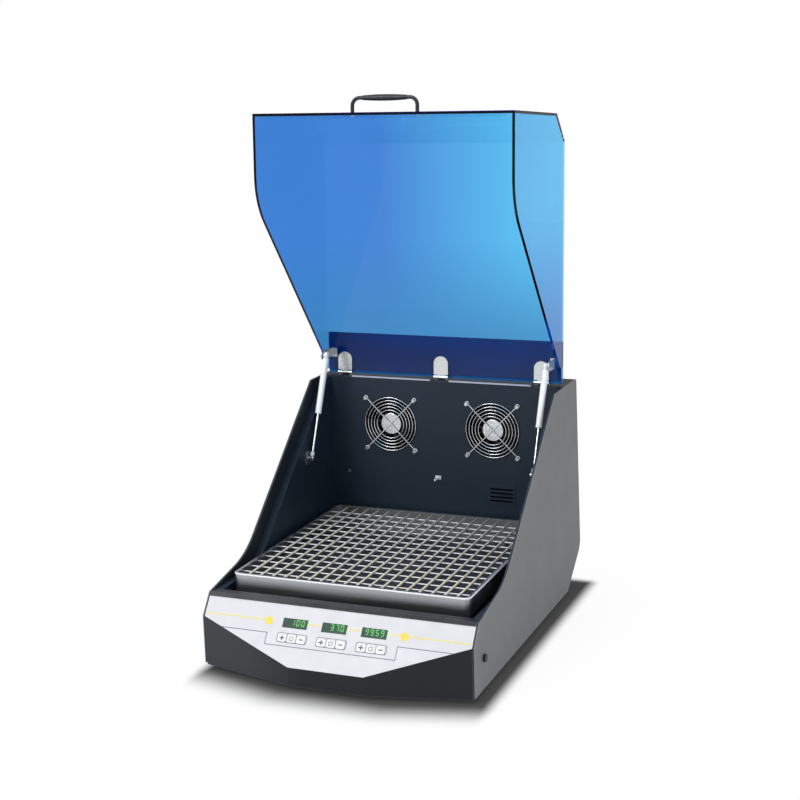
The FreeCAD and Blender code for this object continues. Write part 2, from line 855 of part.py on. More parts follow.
def make_fan_frames():
    """Two square fan frames with a round bore, four struts, a stator and its pin."""
    frames = []
    for name, x in fan_centres():
        outline = rectangle("fan_side", "fan_side", "frame_corner", x, "fan_z")
        frame = prism("XZ", outline, "fan_depth", [(x, "fan_z", "fan_bore")])
        parts = [move(frame, ("0", "%s + fan_depth" % WALL_BACK, "0"))]
        stator_y = "(%s + fan_depth - stator_depth)" % WALL_BACK
        parts.append(rod((x, stator_y, "fan_z"), "Y", "hub_radius", "stator_depth"))
        parts.append(rod((x, "%s + stator_depth" % WALL_BACK, "fan_z"), "Y", "fan_pin",
                         "fan_depth - stator_depth - pin_gap"))
        long = "2 * fan_bore + steel"
        parts.append(block(("%s - (%s) / 2" % (x, long), stator_y, "fan_z - strut_width / 2"),
                           (long, "strut_width", "strut_width")))
        parts.append(block(("%s - strut_width / 2" % x, stator_y, "fan_z - (%s) / 2" % long),
                           ("strut_width", "strut_width", long)))
        frames.append(join(parts))
    keep(group(frames), "fan_frames")


def make_fan_rotors():
    """Two rotors: a cup hub bored for its pin, with pitched blades."""
    for name, x in fan_centres():
        hub = spun([
            ("fan_pin + play", "hub_face"),
            ("fan_pin + play", "hub_depth"),
            ("hub_radius", "hub_depth"),
            ("hub_radius", "0", "hub_face / 2"),
            ("0", "0"),
            ("0", "hub_face"),
        ], "XY")
        blade = doc.addObject("Part::Box", "Blade")
        blade.setExpression("Length", expr("blade_tip - hub_radius + steel"))
        blade.setExpression("Width", expr("blade_thickness"))
        blade.setExpression("Height", expr("hub_depth + hub_face"))
        blades = []
        for j in range(FAN_BLADES):
            copy = blade if j == 0 else doc.copyObject(blade)
            pitch = Rotation(Vector(1, 0, 0), 90 - num("blade_angle"))
            start = FreeCAD.Placement(
                Vector(num("hub_radius - steel"), num("steel"), -num("hub_depth") / 2), pitch)
            around = FreeCAD.Placement(
                Vector(), Rotation(Vector(0, 1, 0), 360.0 * j / FAN_BLADES))
            copy.Placement = around * start
            blades.append(copy)
        sweep = rod(("0", "steel", "0"), "Y", "blade_tip", "hub_depth - 2 * steel")
        trimmed = common(sweep, join(blades))
        bore = rod(("0", "hub_face", "0"), "Y", "fan_pin + play", "hub_depth")
        rotor = join([hub, cut(trimmed, [bore])])
        keep(rotor, name + "_fan_rotor", (x, "back_wall_y + steel", "fan_z"))


def guard_ring(radius):
    """One ring of round wire, drawn with a diamond section."""
    wire = "guard_wire"
    return spun([
        ("%s - %s" % (radius, wire), "0"),
        (radius, "-" + wire),
        ("%s + %s" % (radius, wire), "0"),
        (radius, wire),
    ], "XY")


def make_fan_guards():
    """Two wire guards: rings on four diagonal spokes that end in screwed ears."""
    guards = []
    reach = "(fan_hole_half * sqrt(2))"
    for name, x in fan_centres():
        parts = []
        for j in range(GUARD_RINGS):
            ring = guard_ring("(guard_ring - %d * guard_step)" % j)
            parts.append(move(ring, (x, "back_wall_y - ear_thickness - guard_wire / 2", "fan_z")))
        for angle in (45, 135):
            spoke = rod(("0", "0", "0"), "X", "guard_wire", "2 * " + reach)
            turn = Rotation(Vector(0, 1, 0), angle)
            spoke.Placement = FreeCAD.Placement(
                Vector(), turn * Rotation(Vector(0, 0, 1), Vector(1, 0, 0)))
            side = 1 if angle < 90 else -1
            parts.append(move(spoke, ("%s - %d * fan_hole_half" % (x, side),
                                      "back_wall_y - ear_thickness / 2",
                                      "fan_z + fan_hole_half")))
        holes = []
        for i in (-1, 1):
            for j in (-1, 1):
                at_x, at_z = "%s + %d * fan_hole_half" % (x, i), "fan_z + %d * fan_hole_half" % j
                parts.append(rod((at_x, "back_wall_y - ear_thickness", at_z), "Y", "ear_radius",
                                 "ear_thickness"))
                holes.append(rod((at_x, "back_wall_y - 2 * ear_thickness", at_z), "Y",
                                 "screw_shank + fit_gap", "3 * ear_thickness"))
        guards.append(cut(join(parts), holes))
    keep(group(guards), "fan_guards")


def make_cabinet_screws():
    """Guard screws through the ears and two plain screws on the back wall."""
    screws = []
    for name, x in fan_centres():
        for i in (-1, 1):
            for j in (-1, 1):
                at = ("%s + %d * fan_hole_half" % (x, i), "fan_z + %d * fan_hole_half" % j)
                head = rod((at[0], "back_wall_y - ear_thickness - screw_height", at[1]), "Y",
                           "screw_head", "screw_height")
                shank = rod((at[0], "back_wall_y - ear_thickness", at[1]), "Y",
                            "screw_shank", "ear_thickness")
                screws.append(join([head, shank]))
    for i in (-1, 1):
        screws.append(rod(("%d * wall_screw_x" % i, "back_wall_y - screw_height", "sensor_z"), "Y",
                           "screw_head", "screw_height"))
    keep(group(screws), "cabinet_screws")


def make_sensor():
    """Temperature probe on a small clip."""
    clip = block(("sensor_x - clip_width / 2", "back_wall_y - steel", "sensor_z - clip_height / 2"),
                 ("clip_width", "steel", "clip_height"))
    probe = rod(("sensor_x", "back_wall_y - probe_reach", "sensor_z"), "Y", "probe_radius",
                "probe_reach")
    collar = rod(("sensor_x", "back_wall_y - steel - collar_length", "sensor_z"), "Y",
                 "screw_head", "collar_length")
    keep(join([clip, probe, collar]), "temperature_probe")


def make_heater():
    """Finned heater bar on two brackets behind the fans."""
    y = "(%s + heater_reach)" % WALL_BACK
    parts = [rod(("-heater_half", y, "heater_z"), "X", "heater_bar", "2 * heater_half")]
    for x in centred_steps(HEATER_FINS, "(fin_spread / %d)" % (HEATER_FINS - 1)):
        parts.append(rod((x, y, "heater_z"), "X", "fin_radius", "fin_thickness"))
    for i in (-1, 1):
        low = ("%d * heater_half - steel / 2" % i, WALL_BACK, "heater_z - heater_bracket / 2")
        parts.append(block(low, ("steel", "heater_reach + heater_bracket / 2", "heater_bracket")))
    keep(join(parts), "heater_element")


# Orbital drive


def crank_places():
    """Name and axis of each idler crank."""
    return [
        ("left_crank", "(-crank_half)", "(spindle_y + crank_rear)"),
        ("right_crank", "crank_half", "(spindle_y + crank_rear)"),
        ("front_crank", "0", "(spindle_y - crank_front)"),
    ]


def make_motor():
    """Flat motor on the floor pan, bored for its shaft."""
    profile = [
        ("0", "0"),
        ("motor_radius", "0"),
        ("motor_radius", "motor_height", "motor_edge"),
        ("motor_boss", "motor_height"),
        ("motor_boss", "motor_height + boss_rise"),
        ("motor_shaft + play", "motor_height + boss_rise"),
        ("motor_shaft + play", "motor_height / 2"),
        ("0", "motor_height / 2"),
    ]
    keep(spun(profile), "drive_motor", ("motor_x", "spindle_y", "steel"))


def make_motor_pulley():
    """Motor shaft with its small flanged pulley."""
    top = "(pulley_level + pulley_width)"
    start = "(motor_height / 2 + shaft_lift)"
    profile = [
        ("0", start),
        ("motor_shaft", start),
        ("motor_shaft", "pulley_level - flange_thickness"),
        ("motor_pulley + flange_rim", "pulley_level - flange_thickness"),
        ("motor_pulley + flange_rim", "pulley_level"),
        ("motor_pulley", "pulley_level"),
        ("motor_pulley", top),
        ("motor_pulley + flange_rim", top),
        ("motor_pulley + flange_rim", top + " + flange_thickness"),
        ("0", top + " + flange_thickness"),
    ]
    keep(spun(profile), "motor_pulley", ("motor_x", "spindle_y", "0"))


def belt_loop(extra):
    """Plan outline round both pulleys, as a solid, grown by a distance."""
    big = "(spindle_pulley + belt_gap + %s)" % extra
    small = "(motor_pulley + belt_gap + %s)" % extra
    width = "(pulley_width - 2 * belt_gap)"
    level = "(pulley_level + belt_gap)"
    discs = [rod(("0", "spindle_y", level), "Z", big, width),
             rod(("motor_x", "spindle_y", level), "Z", small, width)]
    tilt = "asin((%s - %s) / motor_x)" % (big, small)
    span = [
        ("%s * sin(%s)" % (big, tilt), "%s * cos(%s)" % (big, tilt)),
        ("%s * sin(%s)" % (big, tilt), "-%s * cos(%s)" % (big, tilt)),
        ("motor_x + %s * sin(%s)" % (small, tilt), "-%s * cos(%s)" % (small, tilt)),
        ("motor_x + %s * sin(%s)" % (small, tilt), "%s * cos(%s)" % (small, tilt)),
    ]
    web = move(prism("XY", span, width), ("0", "spindle_y", level))
    return join(discs + [web])


def make_drive_belt():
    """Flat belt round the two pulleys, clear of both."""
    keep(cut(belt_loop("belt_thickness"), [belt_loop("0")]), "drive_belt")


def make_spindle_housing():
    """Flanged bearing housing on the floor pan."""
    top = "(pulley_level - 2 * steel)"
    profile = [
        ("bearing_radius", "steel"),
        ("housing_flange", "steel"),
        ("housing_flange", "steel + housing_base"),
        ("housing_radius", "steel + housing_base", "housing_fillet"),
        ("housing_radius", top),
        ("bearing_radius", top),
    ]
    keep(spun(profile), "spindle_housing", ("0", "spindle_y", "0"))


def ring(inner, outer, low, height):
    """A plain ring about the upright axis."""
    return spun([
        (inner, low),
        (outer, low),
        (outer, "%s + %s" % (low, height)),
        (inner, "%s + %s" % (low, height)),
    ])


def make_spindle_bearings():
    """Two ball bearings, drawn as plain rings, in the spindle housing."""
    levels = ("bearing_lift", "pulley_level - bearing_drop - bearing_width")
    rings = [move(ring("spindle_radius + play", "bearing_radius", low, "bearing_width"),
                  ("0", "spindle_y", "0")) for low in levels]
    keep(group(rings), "spindle_bearings")


def make_spindle():
    """Main spindle: shaft, large pulley, drip shield, eccentric journal and counterweight."""
    rim_top = "(pulley_level + pulley_width)"
    web_top = "(pulley_level + pulley_web)"
    profile = [
        ("0", "spindle_lift"),
        ("spindle_radius", "spindle_lift"),
        ("spindle_radius", "pulley_level"),
        ("spindle_pulley", "pulley_level"),
        ("spindle_pulley", rim_top),
        ("spindle_pulley - pulley_rim", rim_top),
        ("spindle_pulley - pulley_rim", web_top),
        ("pulley_hub", web_top),
        ("pulley_hub", rim_top),
        ("0", rim_top),
    ]
    body = move(spun(profile), ("0", "spindle_y", "0"))
    journal = rod(("0", TRAY_MIDDLE, rim_top), "Z", "journal_radius",
                  "%s - pin_clearance - %s" % (TRAY_LOW, rim_top))
    disc = rod(("0", "spindle_y", DISC_LEVEL), "Z", "shield_radius", "shield_thickness")
    weight = cut(rod(("0", "spindle_y", rim_top), "Z", "weight_radius", "weight_height"),
                 [block(("-spindle_pulley", "spindle_y - spindle_radius / 2", "pulley_level"),
                        ("2 * spindle_pulley", "2 * spindle_pulley", "pulley_width + 2 * weight_height"))])
    bridge = block(("-spindle_radius", "spindle_y - spindle_radius", rim_top),
                   ("2 * spindle_radius", "spindle_radius", "weight_height"))
    keep(join([body, journal, disc, weight, bridge]), "drive_spindle")


def make_crank_blocks():
    """Bearing blocks under the chamber floor, one for each idler crank."""
    blocks = []
    for name, x, y in crank_places():
        profile = [
            ("crank_journal + play", "floor_height - crank_depth"),
            ("crank_block", "floor_height - crank_depth"),
            ("crank_block", "floor_height - block_plate"),
            ("block_flange", "floor_height - block_plate"),
            ("block_flange", "floor_height"),
            ("crank_journal + play", "floor_height"),
        ]
        blocks.append(move(spun(profile), (x, y, "0")))
    keep(group(blocks), "crank_blocks")


def make_cranks():
    """Idler cranks: a lower journal, a drip disc and an upper pin set off by the orbit."""
    foot = "(floor_height - crank_depth - steel)"
    disc_top = "(%s + disc_thickness)" % DISC_LEVEL
    for name, x, y in crank_places():
        lower = rod((x, y, foot), "Z", "crank_journal", "%s - %s" % (DISC_LEVEL, foot))
        disc = rod((x, y, DISC_LEVEL), "Z", "crank_disc", "disc_thickness")
        upper = rod((x, "%s + orbit" % y, disc_top), "Z", "crank_journal",
                    "%s - pin_clearance - %s" % (TRAY_LOW, disc_top))
        keep(join([lower, disc, upper]), name)


def platform_sockets():
    """Axis and pin radius of each bearing socket in the platform."""
    sockets = [("0", TRAY_MIDDLE, "journal_radius")]
    sockets += [(x, "%s + orbit" % y, "crank_journal") for name, x, y in crank_places()]
    return sockets


def make_platform():
    """Orbiting plate with a boss under it for each bearing."""
    outline = rectangle("platform_side", "platform_side", "tray_corner", "0", TRAY_MIDDLE)
    plate = move(prism("XY", outline, "platform_plate"), ("0", "0", "platform_low"))
    parts, bores = [plate], []
    for x, y, radius in platform_sockets():
        parts.append(rod((x, y, "platform_low - boss_depth"), "Z", "boss_radius", "boss_depth"))
        bores.append(rod((x, y, "platform_low - 2 * boss_depth"), "Z", "race_radius",
                         "2 * boss_depth + platform_plate - steel"))
    for i in (-1, 1):
        for j in (-1, 1):
            at = ("%d * relief_x" % i, "%s + %d * relief_y" % (TRAY_MIDDLE, j), "platform_low - steel")
            bores.append(rod(at, "Z", "relief_radius", "platform_plate + 2 * steel"))
    keep(cut(join(parts), bores), "platform_plate")


def make_platform_bearings():
    """Ball bearings, drawn as plain rings, in the platform's sockets."""
    rings = []
    for x, y, radius in platform_sockets():
        one = ring("%s + play" % radius, "race_radius", "platform_low - boss_depth + steel / 2",
                   "bearing_width")
        rings.append(move(one, (x, y, "0")))
    keep(group(rings), "platform_bearings")


def tray_rectangle(inset):
    """Plan outline of the tray, moved in by a distance."""
    return rectangle("tray_width - 2 * %s" % inset, "tray_depth - 2 * %s" % inset,
                     "tray_corner - %s" % inset, "0", TRAY_MIDDLE)


def make_tray():
    """Shallow pan with an inward rim."""
    pan = move(prism("XY", tray_rectangle("0"), "tray_height"), ("0", "0", TRAY_LOW))
    hollow = move(prism("XY", tray_rectangle("tray_wall"),
                        "tray_height - tray_wall - rim_thickness"),
                  ("0", "0", "%s + tray_wall" % TRAY_LOW))
    mouth = move(prism("XY", tray_rectangle("rim_width"), "tray_height"),
                 ("0", "0", "%s + tray_height - 2 * rim_thickness" % TRAY_LOW))
    keep(cut(pan, [hollow, mouth]), "shaker_tray")


def make_tray_screws():
    """Four round thumb screws that hold the tray on the platform."""
    screws = []
    for i in (-1, 1):
        for j in (-1, 1):
            at = ("%d * tray_screw_half" % i, "%s + %d * tray_screw_half" % (TRAY_MIDDLE, j),
                  "%s + tray_wall" % TRAY_LOW)
            screws.append(rod(at, "Z", "knob_radius", "knob_height"))
    keep(group(screws), "tray_screws")


def centred_steps(count, pitch):
    """Offsets of a row of copies about its middle."""
    return ["(%f * %s)" % (j - (count - 1) / 2, pitch) for j in range(count)]


def make_wires():
    """Spring wires from front to back over plain wires from side to side."""
    room = "(tray_%s - 2 * tray_wall - 2 * fit_gap)"
    count = int((num("tray_width") - num("wire_pitch")) / num("wire_pitch"))
    springs = [rod((x, "%s - %s / 2" % (TRAY_MIDDLE, room % "depth"), WIRE_LEVEL), "Y",
                   "wire_radius", room % "depth") for x in centred_steps(count, "wire_pitch")]
    keep(group(springs), "spring_wires")
    count = int((num("tray_depth") - num("cross_pitch") / 2) / num("cross_pitch"))
    level = "(%s - wire_radius - cross_radius - play)" % WIRE_LEVEL
    crossing = [rod(("-%s / 2" % (room % "width"), "%s + %s" % (TRAY_MIDDLE, y), level), "X",
                    "cross_radius", room % "width") for y in centred_steps(count, "cross_pitch")]
    keep(group(crossing), "cross_wires")


# Hood, drawn closed and measured from the hinge axis


def from_hinge(y, z):
    """A point of the closed hood, measured from the hinge axis."""
    return ("(%s - hinge_y)" % y, "(%s - hinge_z)" % z)


def mitre(before, after):
    """Shift of an inside corner of the hood's wall between two directions of the outside."""
    half_sum, half_turn = "((%s + %s) / 2)" % (before, after), "((%s - %s) / 2)" % (before, after)
    return ("acrylic * sin(%s) / cos(%s)" % (half_sum, half_turn),
            "acrylic * cos(%s) / cos(%s)" % (half_sum, half_turn))


def make_hood_shell():
    """Clear hood: roof, bevel, raked front and two side walls whose edge follows the ledge."""
    panel_end = "(hinge_y - hinge_knuckle - panel_gap)"
    edge_corner = "(%s + hood_edge_gap / %s)" % (ledge_y("ledge_height"), SLOPE)
    rake_y, bevel_y = "(hood_front_y + hood_rake)", "(hood_front_y + hood_bevel)"
    outer = [
        from_hinge("hood_front_y", "hood_base_z"),
        from_hinge(rake_y, "hood_shoulder_z"),
        from_hinge(bevel_y, HOOD_TOP),
        from_hinge(panel_end, HOOD_TOP),
        from_hinge(panel_end, "hinge_z"),
        from_hinge("hood_side_end", "hinge_z"),
        from_hinge("hood_side_end", ledge_at("hood_side_end", "hood_edge_gap")),
        from_hinge(edge_corner, "hood_base_z") + ("ledge_radius",),
    ]
    low = "(hood_base_z - 2 * acrylic)"
    low_y = ("(hood_front_y + acrylic / sin(%s) - 2 * acrylic / tan(%s))"
             % (FRONT_ANGLE, FRONT_ANGLE))
    shoulder = mitre(FRONT_ANGLE, BEVEL_ANGLE)
    crest = mitre(BEVEL_ANGLE, "0 deg")
    inner = [
        from_hinge(low_y, low),
        from_hinge("(%s + %s)" % (rake_y, shoulder[0]), "(hood_shoulder_z - %s)" % shoulder[1]),
        from_hinge("(%s + %s)" % (bevel_y, crest[0]), "hinge_z"),
        from_hinge("hinge_y + acrylic", "hinge_z"),
        from_hinge("hinge_y + acrylic", low),
    ]
    solid = prism("YZ", outer, "2 * %s" % HOOD_HALF, symmetric=True)
    room = prism("YZ", inner, "2 * (%s - acrylic)" % HOOD_HALF, symmetric=True)
    holes = [rod(("%d * handle_span / 2" % i, "-acrylic", "handle_rise"), "Y",
                 "handle_screw + play", "drill_depth") for i in (-1, 1)]
    edge_y, edge_z = from_hinge("hood_front_y", "hood_base_z")
    drilled = move(group(holes), ("0", edge_y, edge_z), "%s - 90 deg" % FRONT_ANGLE)
    keep_on_hood(cut(solid, [room, drilled]), "hood_shell")


def make_hinge_rail():
    """Dark stiffening rail on the outside of the hood, along the hinge line."""
    outline = rectangle("2 * rail_half", "rail_height", "frame_corner", "0",
                        "rail_overhang - rail_height / 2")
    keep_on_hood(prism("XY", outline, "rail_steel", level="acrylic"), "hinge_rail")


def make_handle():
    """Bow handle of bent rod with a grip that swells in its middle."""
    span, reach, bend = num("handle_span"), num("handle_reach"), num("handle_bend")
    level = num("handle_rise")
    shortcut = bend * (1 - math.sqrt(0.5))
    legs = []
    for side in (-1, 1):
        foot = Vector(side * span / 2, 0, level)
        bend_in = Vector(side * span / 2, bend - reach, level)
        bend_middle = Vector(side * (span / 2 - shortcut), shortcut - reach, level)
        bend_out = Vector(side * (span / 2 - bend), -reach, level)
        legs.append((foot, bend_in, bend_middle, bend_out))
    left, right = legs
    path = [
        Part.LineSegment(left[0], left[1]),
        Part.Arc(left[1], left[2], left[3]),
        Part.LineSegment(left[3], right[3]),
        Part.Arc(right[3], right[2], right[1]),
        Part.LineSegment(right[1], right[0]),
    ]
    section = Part.Wire([Part.Circle(left[0], Vector(0, 1, 0), num("handle_rod")).toShape()])
    bow = doc.addObject("Part::Feature", "Bow")
    bow.Shape = Part.Wire([p.toShape() for p in path]).makePipeShell([section], True, True)
    grip = doc.addObject("PartDesign::Body", "Grip")
    sketch = new_sketch(grip, "XY")
    half = num("grip_half")
    start, end = Vector(-half, num("grip_end"), 0), Vector(half, num("grip_end"), 0)
    sketch.addGeometry(Part.Arc(start, Vector(0, num("grip_middle"), 0), end))
    sketch.addGeometry(Part.LineSegment(end, Vector(half, 0, 0)))
    sketch.addGeometry(Part.LineSegment(Vector(half, 0, 0), Vector(-half, 0, 0)))
    sketch.addGeometry(Part.LineSegment(Vector(-half, 0, 0), start))
    turn = grip.newObject("PartDesign::Revolution", "Revolution")
    turn.Profile = sketch
    turn.ReferenceAxis = (sketch, ["H_Axis"])
    turn.Angle = 360
    keep_on_front(join([bow, move(grip, ("0", "-handle_reach", "handle_rise"))]), "hood_handle")


def make_handle_screws():
    """Screws through the hood's front panel into the handle's feet."""
    screws = []
    for i in (-1, 1):
        x = "%d * handle_span / 2" % i
        shank = rod((x, "0", "handle_rise"), "Y", "handle_screw", "acrylic")
        head = rod((x, "acrylic", "handle_rise"), "Y", "2 * handle_screw", "handle_screw")
        screws.append(join([shank, head]))
    keep_on_front(group(screws), "handle_screws")


def hinge_centres():
    """Side-to-side centres of the three hinges."""
    return ["(%d * hinge_pitch)" % i for i in (-1, 0, 1)]


def make_hood_leaves():
    """Round-topped hinge leaves inside the hood, each with its middle knuckle."""
    leaves = []
    for x in hinge_centres():
        outline = [
            ("%s - leaf_width / 2" % x, "-hinge_knuckle / 2"),
            ("%s + leaf_width / 2" % x, "-hinge_knuckle / 2"),
            ("%s + leaf_width / 2" % x, "-leaf_height", "leaf_round"),
            ("%s - leaf_width / 2" % x, "-leaf_height", "leaf_round"),
        ]
        plate = move(prism("XY", outline, "leaf_steel"), ("0", "0", "-leaf_steel"))
        notch = []
        for i in (-1, 1):
            low = ("%s - leaf_width / 2 + %d * (leaf_width + middle_knuckle) / 2" % (x, i),
                   "-hinge_knuckle - panel_gap", "-2 * leaf_steel")
            notch.append(block(low, ("leaf_width", "2 * hinge_knuckle", "3 * leaf_steel")))
        knuckle = rod(("%s - middle_knuckle / 2" % x, "0", "0"), "X", "hinge_knuckle", "middle_knuckle")
        bore = rod(("%s - leaf_width" % x, "0", "0"), "X", "hinge_pin + hinge_play", "2 * leaf_width")
        leaves.append(cut(join([cut(plate, notch), knuckle]), [bore]))
    keep_on_hood(group(leaves), "hood_hinge_leaves")


def make_fixed_leaves():
    """Hinge leaves on the roof of the cabinet, each with two knuckles and its pin."""
    leaves = []
    side = "((leaf_width - middle_knuckle) / 2 - knuckle_gap)"
    roof = "(roof_height - hinge_z)"
    for x in hinge_centres():
        parts = [block(("%s - leaf_width / 2" % x, "hinge_knuckle + knuckle_gap", roof),
                       ("leaf_width", "leaf_tail", "leaf_steel"))]
        for i in (-1, 1):
            low = "(%s + %d * (leaf_width - %s) / 2 - %s / 2)" % (x, i, side, side)
            parts.append(rod((low, "0", "0"), "X", "hinge_knuckle", side))
            parts.append(block((low, "0", roof), (side, "2 * hinge_knuckle", "leaf_steel")))
        parts.append(rod(("%s - leaf_width / 2" % x, "0", "0"), "X", "hinge_pin", "leaf_width"))
        leaves.append(join(parts))
    keep(group(leaves), "fixed_hinge_leaves", ("0", "hinge_y", "hinge_z"))


# Gas springs, each drawn upright from its lower pivot and then leaned


SPRING_ANGLE = "atan2(spring_head_z - spring_foot_z; spring_head_y - spring_foot_y)"
SPRING_LENGTH = ("sqrt((spring_head_z - spring_foot_z)^2 + (spring_head_y - spring_foot_y)^2)")
SIDES = (("left", -1), ("right", 1))


def keep_on_spring(obj, label, side):
    """Finish a spring piece that was drawn upright from the lower pivot."""
    at = ("%d * spring_half" % side, "spring_foot_y", "spring_foot_z")
    return keep(obj, label, at, "%s - 90 deg" % SPRING_ANGLE)


def make_spring_rods():
    """Piston rods, each with the eye that turns on the lower stud."""
    for name, side in SIDES:
        piston = "(rod_length - piston_height)"
        shaft = spun([
            ("0", "eye_radius - bracket_steel"),
            ("rod_radius", "eye_radius - bracket_steel"),
            ("rod_radius", piston),
            ("barrel_bore - play", piston),
            ("barrel_bore - play", "rod_length"),
            ("0", "rod_length"),
        ])
        eye = rod(("-eye_thickness / 2", "0", "0"), "X", "eye_radius", "eye_thickness")
        bore = rod(("-eye_thickness", "0", "0"), "X", "stud_radius + play", "2 * eye_thickness")
        keep_on_spring(cut(join([shaft, eye]), [bore]), name + "_spring_rod", side)


def make_spring_barrels():
    """Gas spring barrels, each with its gland, and a head with a stub towards the hood."""
    low = "(%s - barrel_length)" % SPRING_LENGTH
    bore_top = "(%s - head_solid)" % SPRING_LENGTH
    for name, side in SIDES:
        tube = spun([
            ("rod_radius + play", low),
            ("barrel_radius", low, "1"),
            ("barrel_radius", "%s - gland_length" % SPRING_LENGTH, "1"),
            ("0", "%s - gland_length" % SPRING_LENGTH),
            ("0", bore_top),
            ("barrel_bore", bore_top),
            ("barrel_bore", "%s + gland_length" % low),
            ("rod_radius + play", "%s + gland_length" % low),
        ])
        head = rod(("-eye_thickness / 2", "0", SPRING_LENGTH), "X", "eye_radius", "eye_thickness")
        neck = rod(("0", "0", "%s - gland_length - bracket_steel" % SPRING_LENGTH), "Z", "rod_radius",
                   "gland_length")
        reach = "(chamber_half - spring_half - bracket_steel - 3 * play - bracket_gap)"
        start = "0" if side > 0 else "-" + reach
        stub = rod((start, "0", SPRING_LENGTH), "X", "stud_radius", reach)
        keep_on_spring(join([tube, head, neck, stub]), name + "_spring_barrel", side)


def make_lower_brackets():
    """Plates on the inner walls, each with the stud that carries a rod eye."""
    brackets = []
    for name, side in SIDES:
        face = "(chamber_half - bracket_steel)"
        plate_x = face if side > 0 else "-chamber_half"
        plate = prism("YZ", rectangle("2 * bracket_radius", "bracket_height", "bracket_radius / 2",
                                      "spring_foot_y", "spring_foot_z"), "bracket_steel")
        plate = move(plate, (plate_x, "0", "0"))
        inward = "(spring_half - eye_thickness / 2 - fit_gap)"
        stud_x = inward if side > 0 else "-" + face
        stud = rod((stud_x, "spring_foot_y", "spring_foot_z"), "X", "stud_radius",
                   "%s - %s" % (face, inward))
        cap_x = "(%s - bracket_steel)" % inward if side > 0 else "-" + inward
        cap = rod((cap_x, "spring_foot_y", "spring_foot_z"), "X", "stud_cap", "bracket_steel")
        brackets.append(join([plate, stud, cap]))
    keep(group(brackets), "lower_spring_brackets")


def make_upper_brackets():
    """Angle brackets inside the hood's roof that reach the head of each gas spring."""
    brackets = []
    turn = math.radians(num("open_angle"))
    open_y, open_z = (num(v) for v in from_hinge("spring_head_y", "spring_head_z"))
    closed_y = open_y * math.cos(turn) - open_z * math.sin(turn)
    closed_z = open_y * math.sin(turn) + open_z * math.cos(turn)
    outer_x = "(chamber_half - bracket_gap)"
    for name, side in SIDES:
        outline = [
            ("%f - bracket_radius" % closed_y, "%f - bracket_radius" % closed_z, "bracket_corner"),
            ("%f + bracket_radius" % closed_y, "%f - bracket_radius" % closed_z, "bracket_corner"),
            ("%f + bracket_radius" % closed_y, "0"),
            ("%f - bracket_radius" % closed_y, "0"),
        ]
        plate = prism("YZ", outline, "bracket_steel")
        plate_x = "(%s - bracket_steel)" % outer_x if side > 0 else "-" + outer_x
        foot_x = "(%s - bracket_foot)" % outer_x if side > 0 else "-" + outer_x
        foot = block((foot_x, "%f - bracket_radius" % closed_y, "-bracket_steel"),
                     ("bracket_foot", "2 * bracket_radius", "bracket_steel"))
        brackets.append(join([move(plate, (plate_x, "0", "0")), foot]))
    keep_on_hood(group(brackets), "upper_spring_brackets")


# Electrical pieces


def make_power_supply():
    """Boxed power supply on the floor pan, stepped down at its terminals."""
    low = ("-chamber_half + supply_inset", "supply_y", "steel")
    body = block(low, ("supply_width", "supply_depth", "supply_height"))
    notch = block(("-chamber_half", "supply_y - steel", "steel + supply_height / 2"),
                  ("supply_width + 2 * supply_inset", "supply_step + steel", "supply_height"))
    keep(cut(body, [notch]), "power_supply")


def make_side_button():
    """Round push button in the right cheek with its stop flange."""
    inside = INNER_HALF
    cap = rod(("%s - steel" % inside, "button_y", "button_z"), "X", "button_radius",
              "cheek_wall + button_proud + steel")
    flange = rod(("%s - steel" % inside, "button_y", "button_z"), "X", "button_flange", "steel - play")
    keep(join([cap, flange]), "side_button")


def make_mains_inlet():
    """Recessed three-pin mains inlet in the leaning rear wall."""
    flange = block(("-inlet_width / 2 - inlet_lip", "play", "-inlet_height / 2 - inlet_lip"),
                   ("inlet_width + 2 * inlet_lip", "steel", "inlet_height + 2 * inlet_lip"))
    body = block(("-inlet_width / 2", "-inlet_depth", "-inlet_height / 2"),
                 ("inlet_width", "inlet_depth + steel", "inlet_height"))
    socket = block(("-inlet_width / 2 + inlet_lip", "-inlet_depth + steel", "-inlet_height / 2 + inlet_lip"),
                   ("inlet_width - 2 * inlet_lip", "inlet_depth + steel", "inlet_height - 2 * inlet_lip"))
    pins = [block(("%d * inlet_width / 4 - steel / 2" % i, "-inlet_depth + steel / 2", "-steel"),
                  ("steel", "inlet_depth - steel", "2 * steel")) for i in (-1, 0, 1)]
    hollow = cut(join([flange, body]), [socket])
    at = ("inlet_x", "rear_low_y - inlet_rise * tan(%s)" % LEAN, "rear_low_z + inlet_rise")
    keep(join([hollow] + pins), "mains_inlet", at, LEAN)


# Build


make_cheeks()
make_liners()
make_base_pan()
make_front_cover()
make_label_panel()
make_display_windows()
make_keys()
make_control_board()
make_chamber_floor()
make_back_wall()
make_rear_cover()
make_feet()
make_fan_frames()
make_fan_rotors()
make_fan_guards()
make_cabinet_screws()
make_sensor()
make_heater()
make_motor()
make_motor_pulley()
make_drive_belt()
make_spindle_housing()
make_spindle_bearings()
make_spindle()
make_crank_blocks()
make_cranks()
make_platform()
make_platform_bearings()
make_tray()
make_tray_screws()
make_wires()
make_hood_shell()
make_hinge_rail()
make_handle()
make_handle_screws()
make_hood_leaves()
make_fixed_leaves()
make_spring_rods()
make_spring_barrels()
make_lower_brackets()
make_upper_brackets()
make_power_supply()
make_side_button()
make_mains_inlet()

doc.recompute()

broken = [o.Label for o in doc.Objects if "Invalid" in o.State or "Error" in o.State]
for label, obj in pieces.items():
    shape = obj.Shape
    if shape.isNull() or not shape.Solids or not shape.isValid():
        broken.append(label)
if broken:
    raise RuntimeError("These objects failed: %s" % ", ".join(sorted(set(broken))))

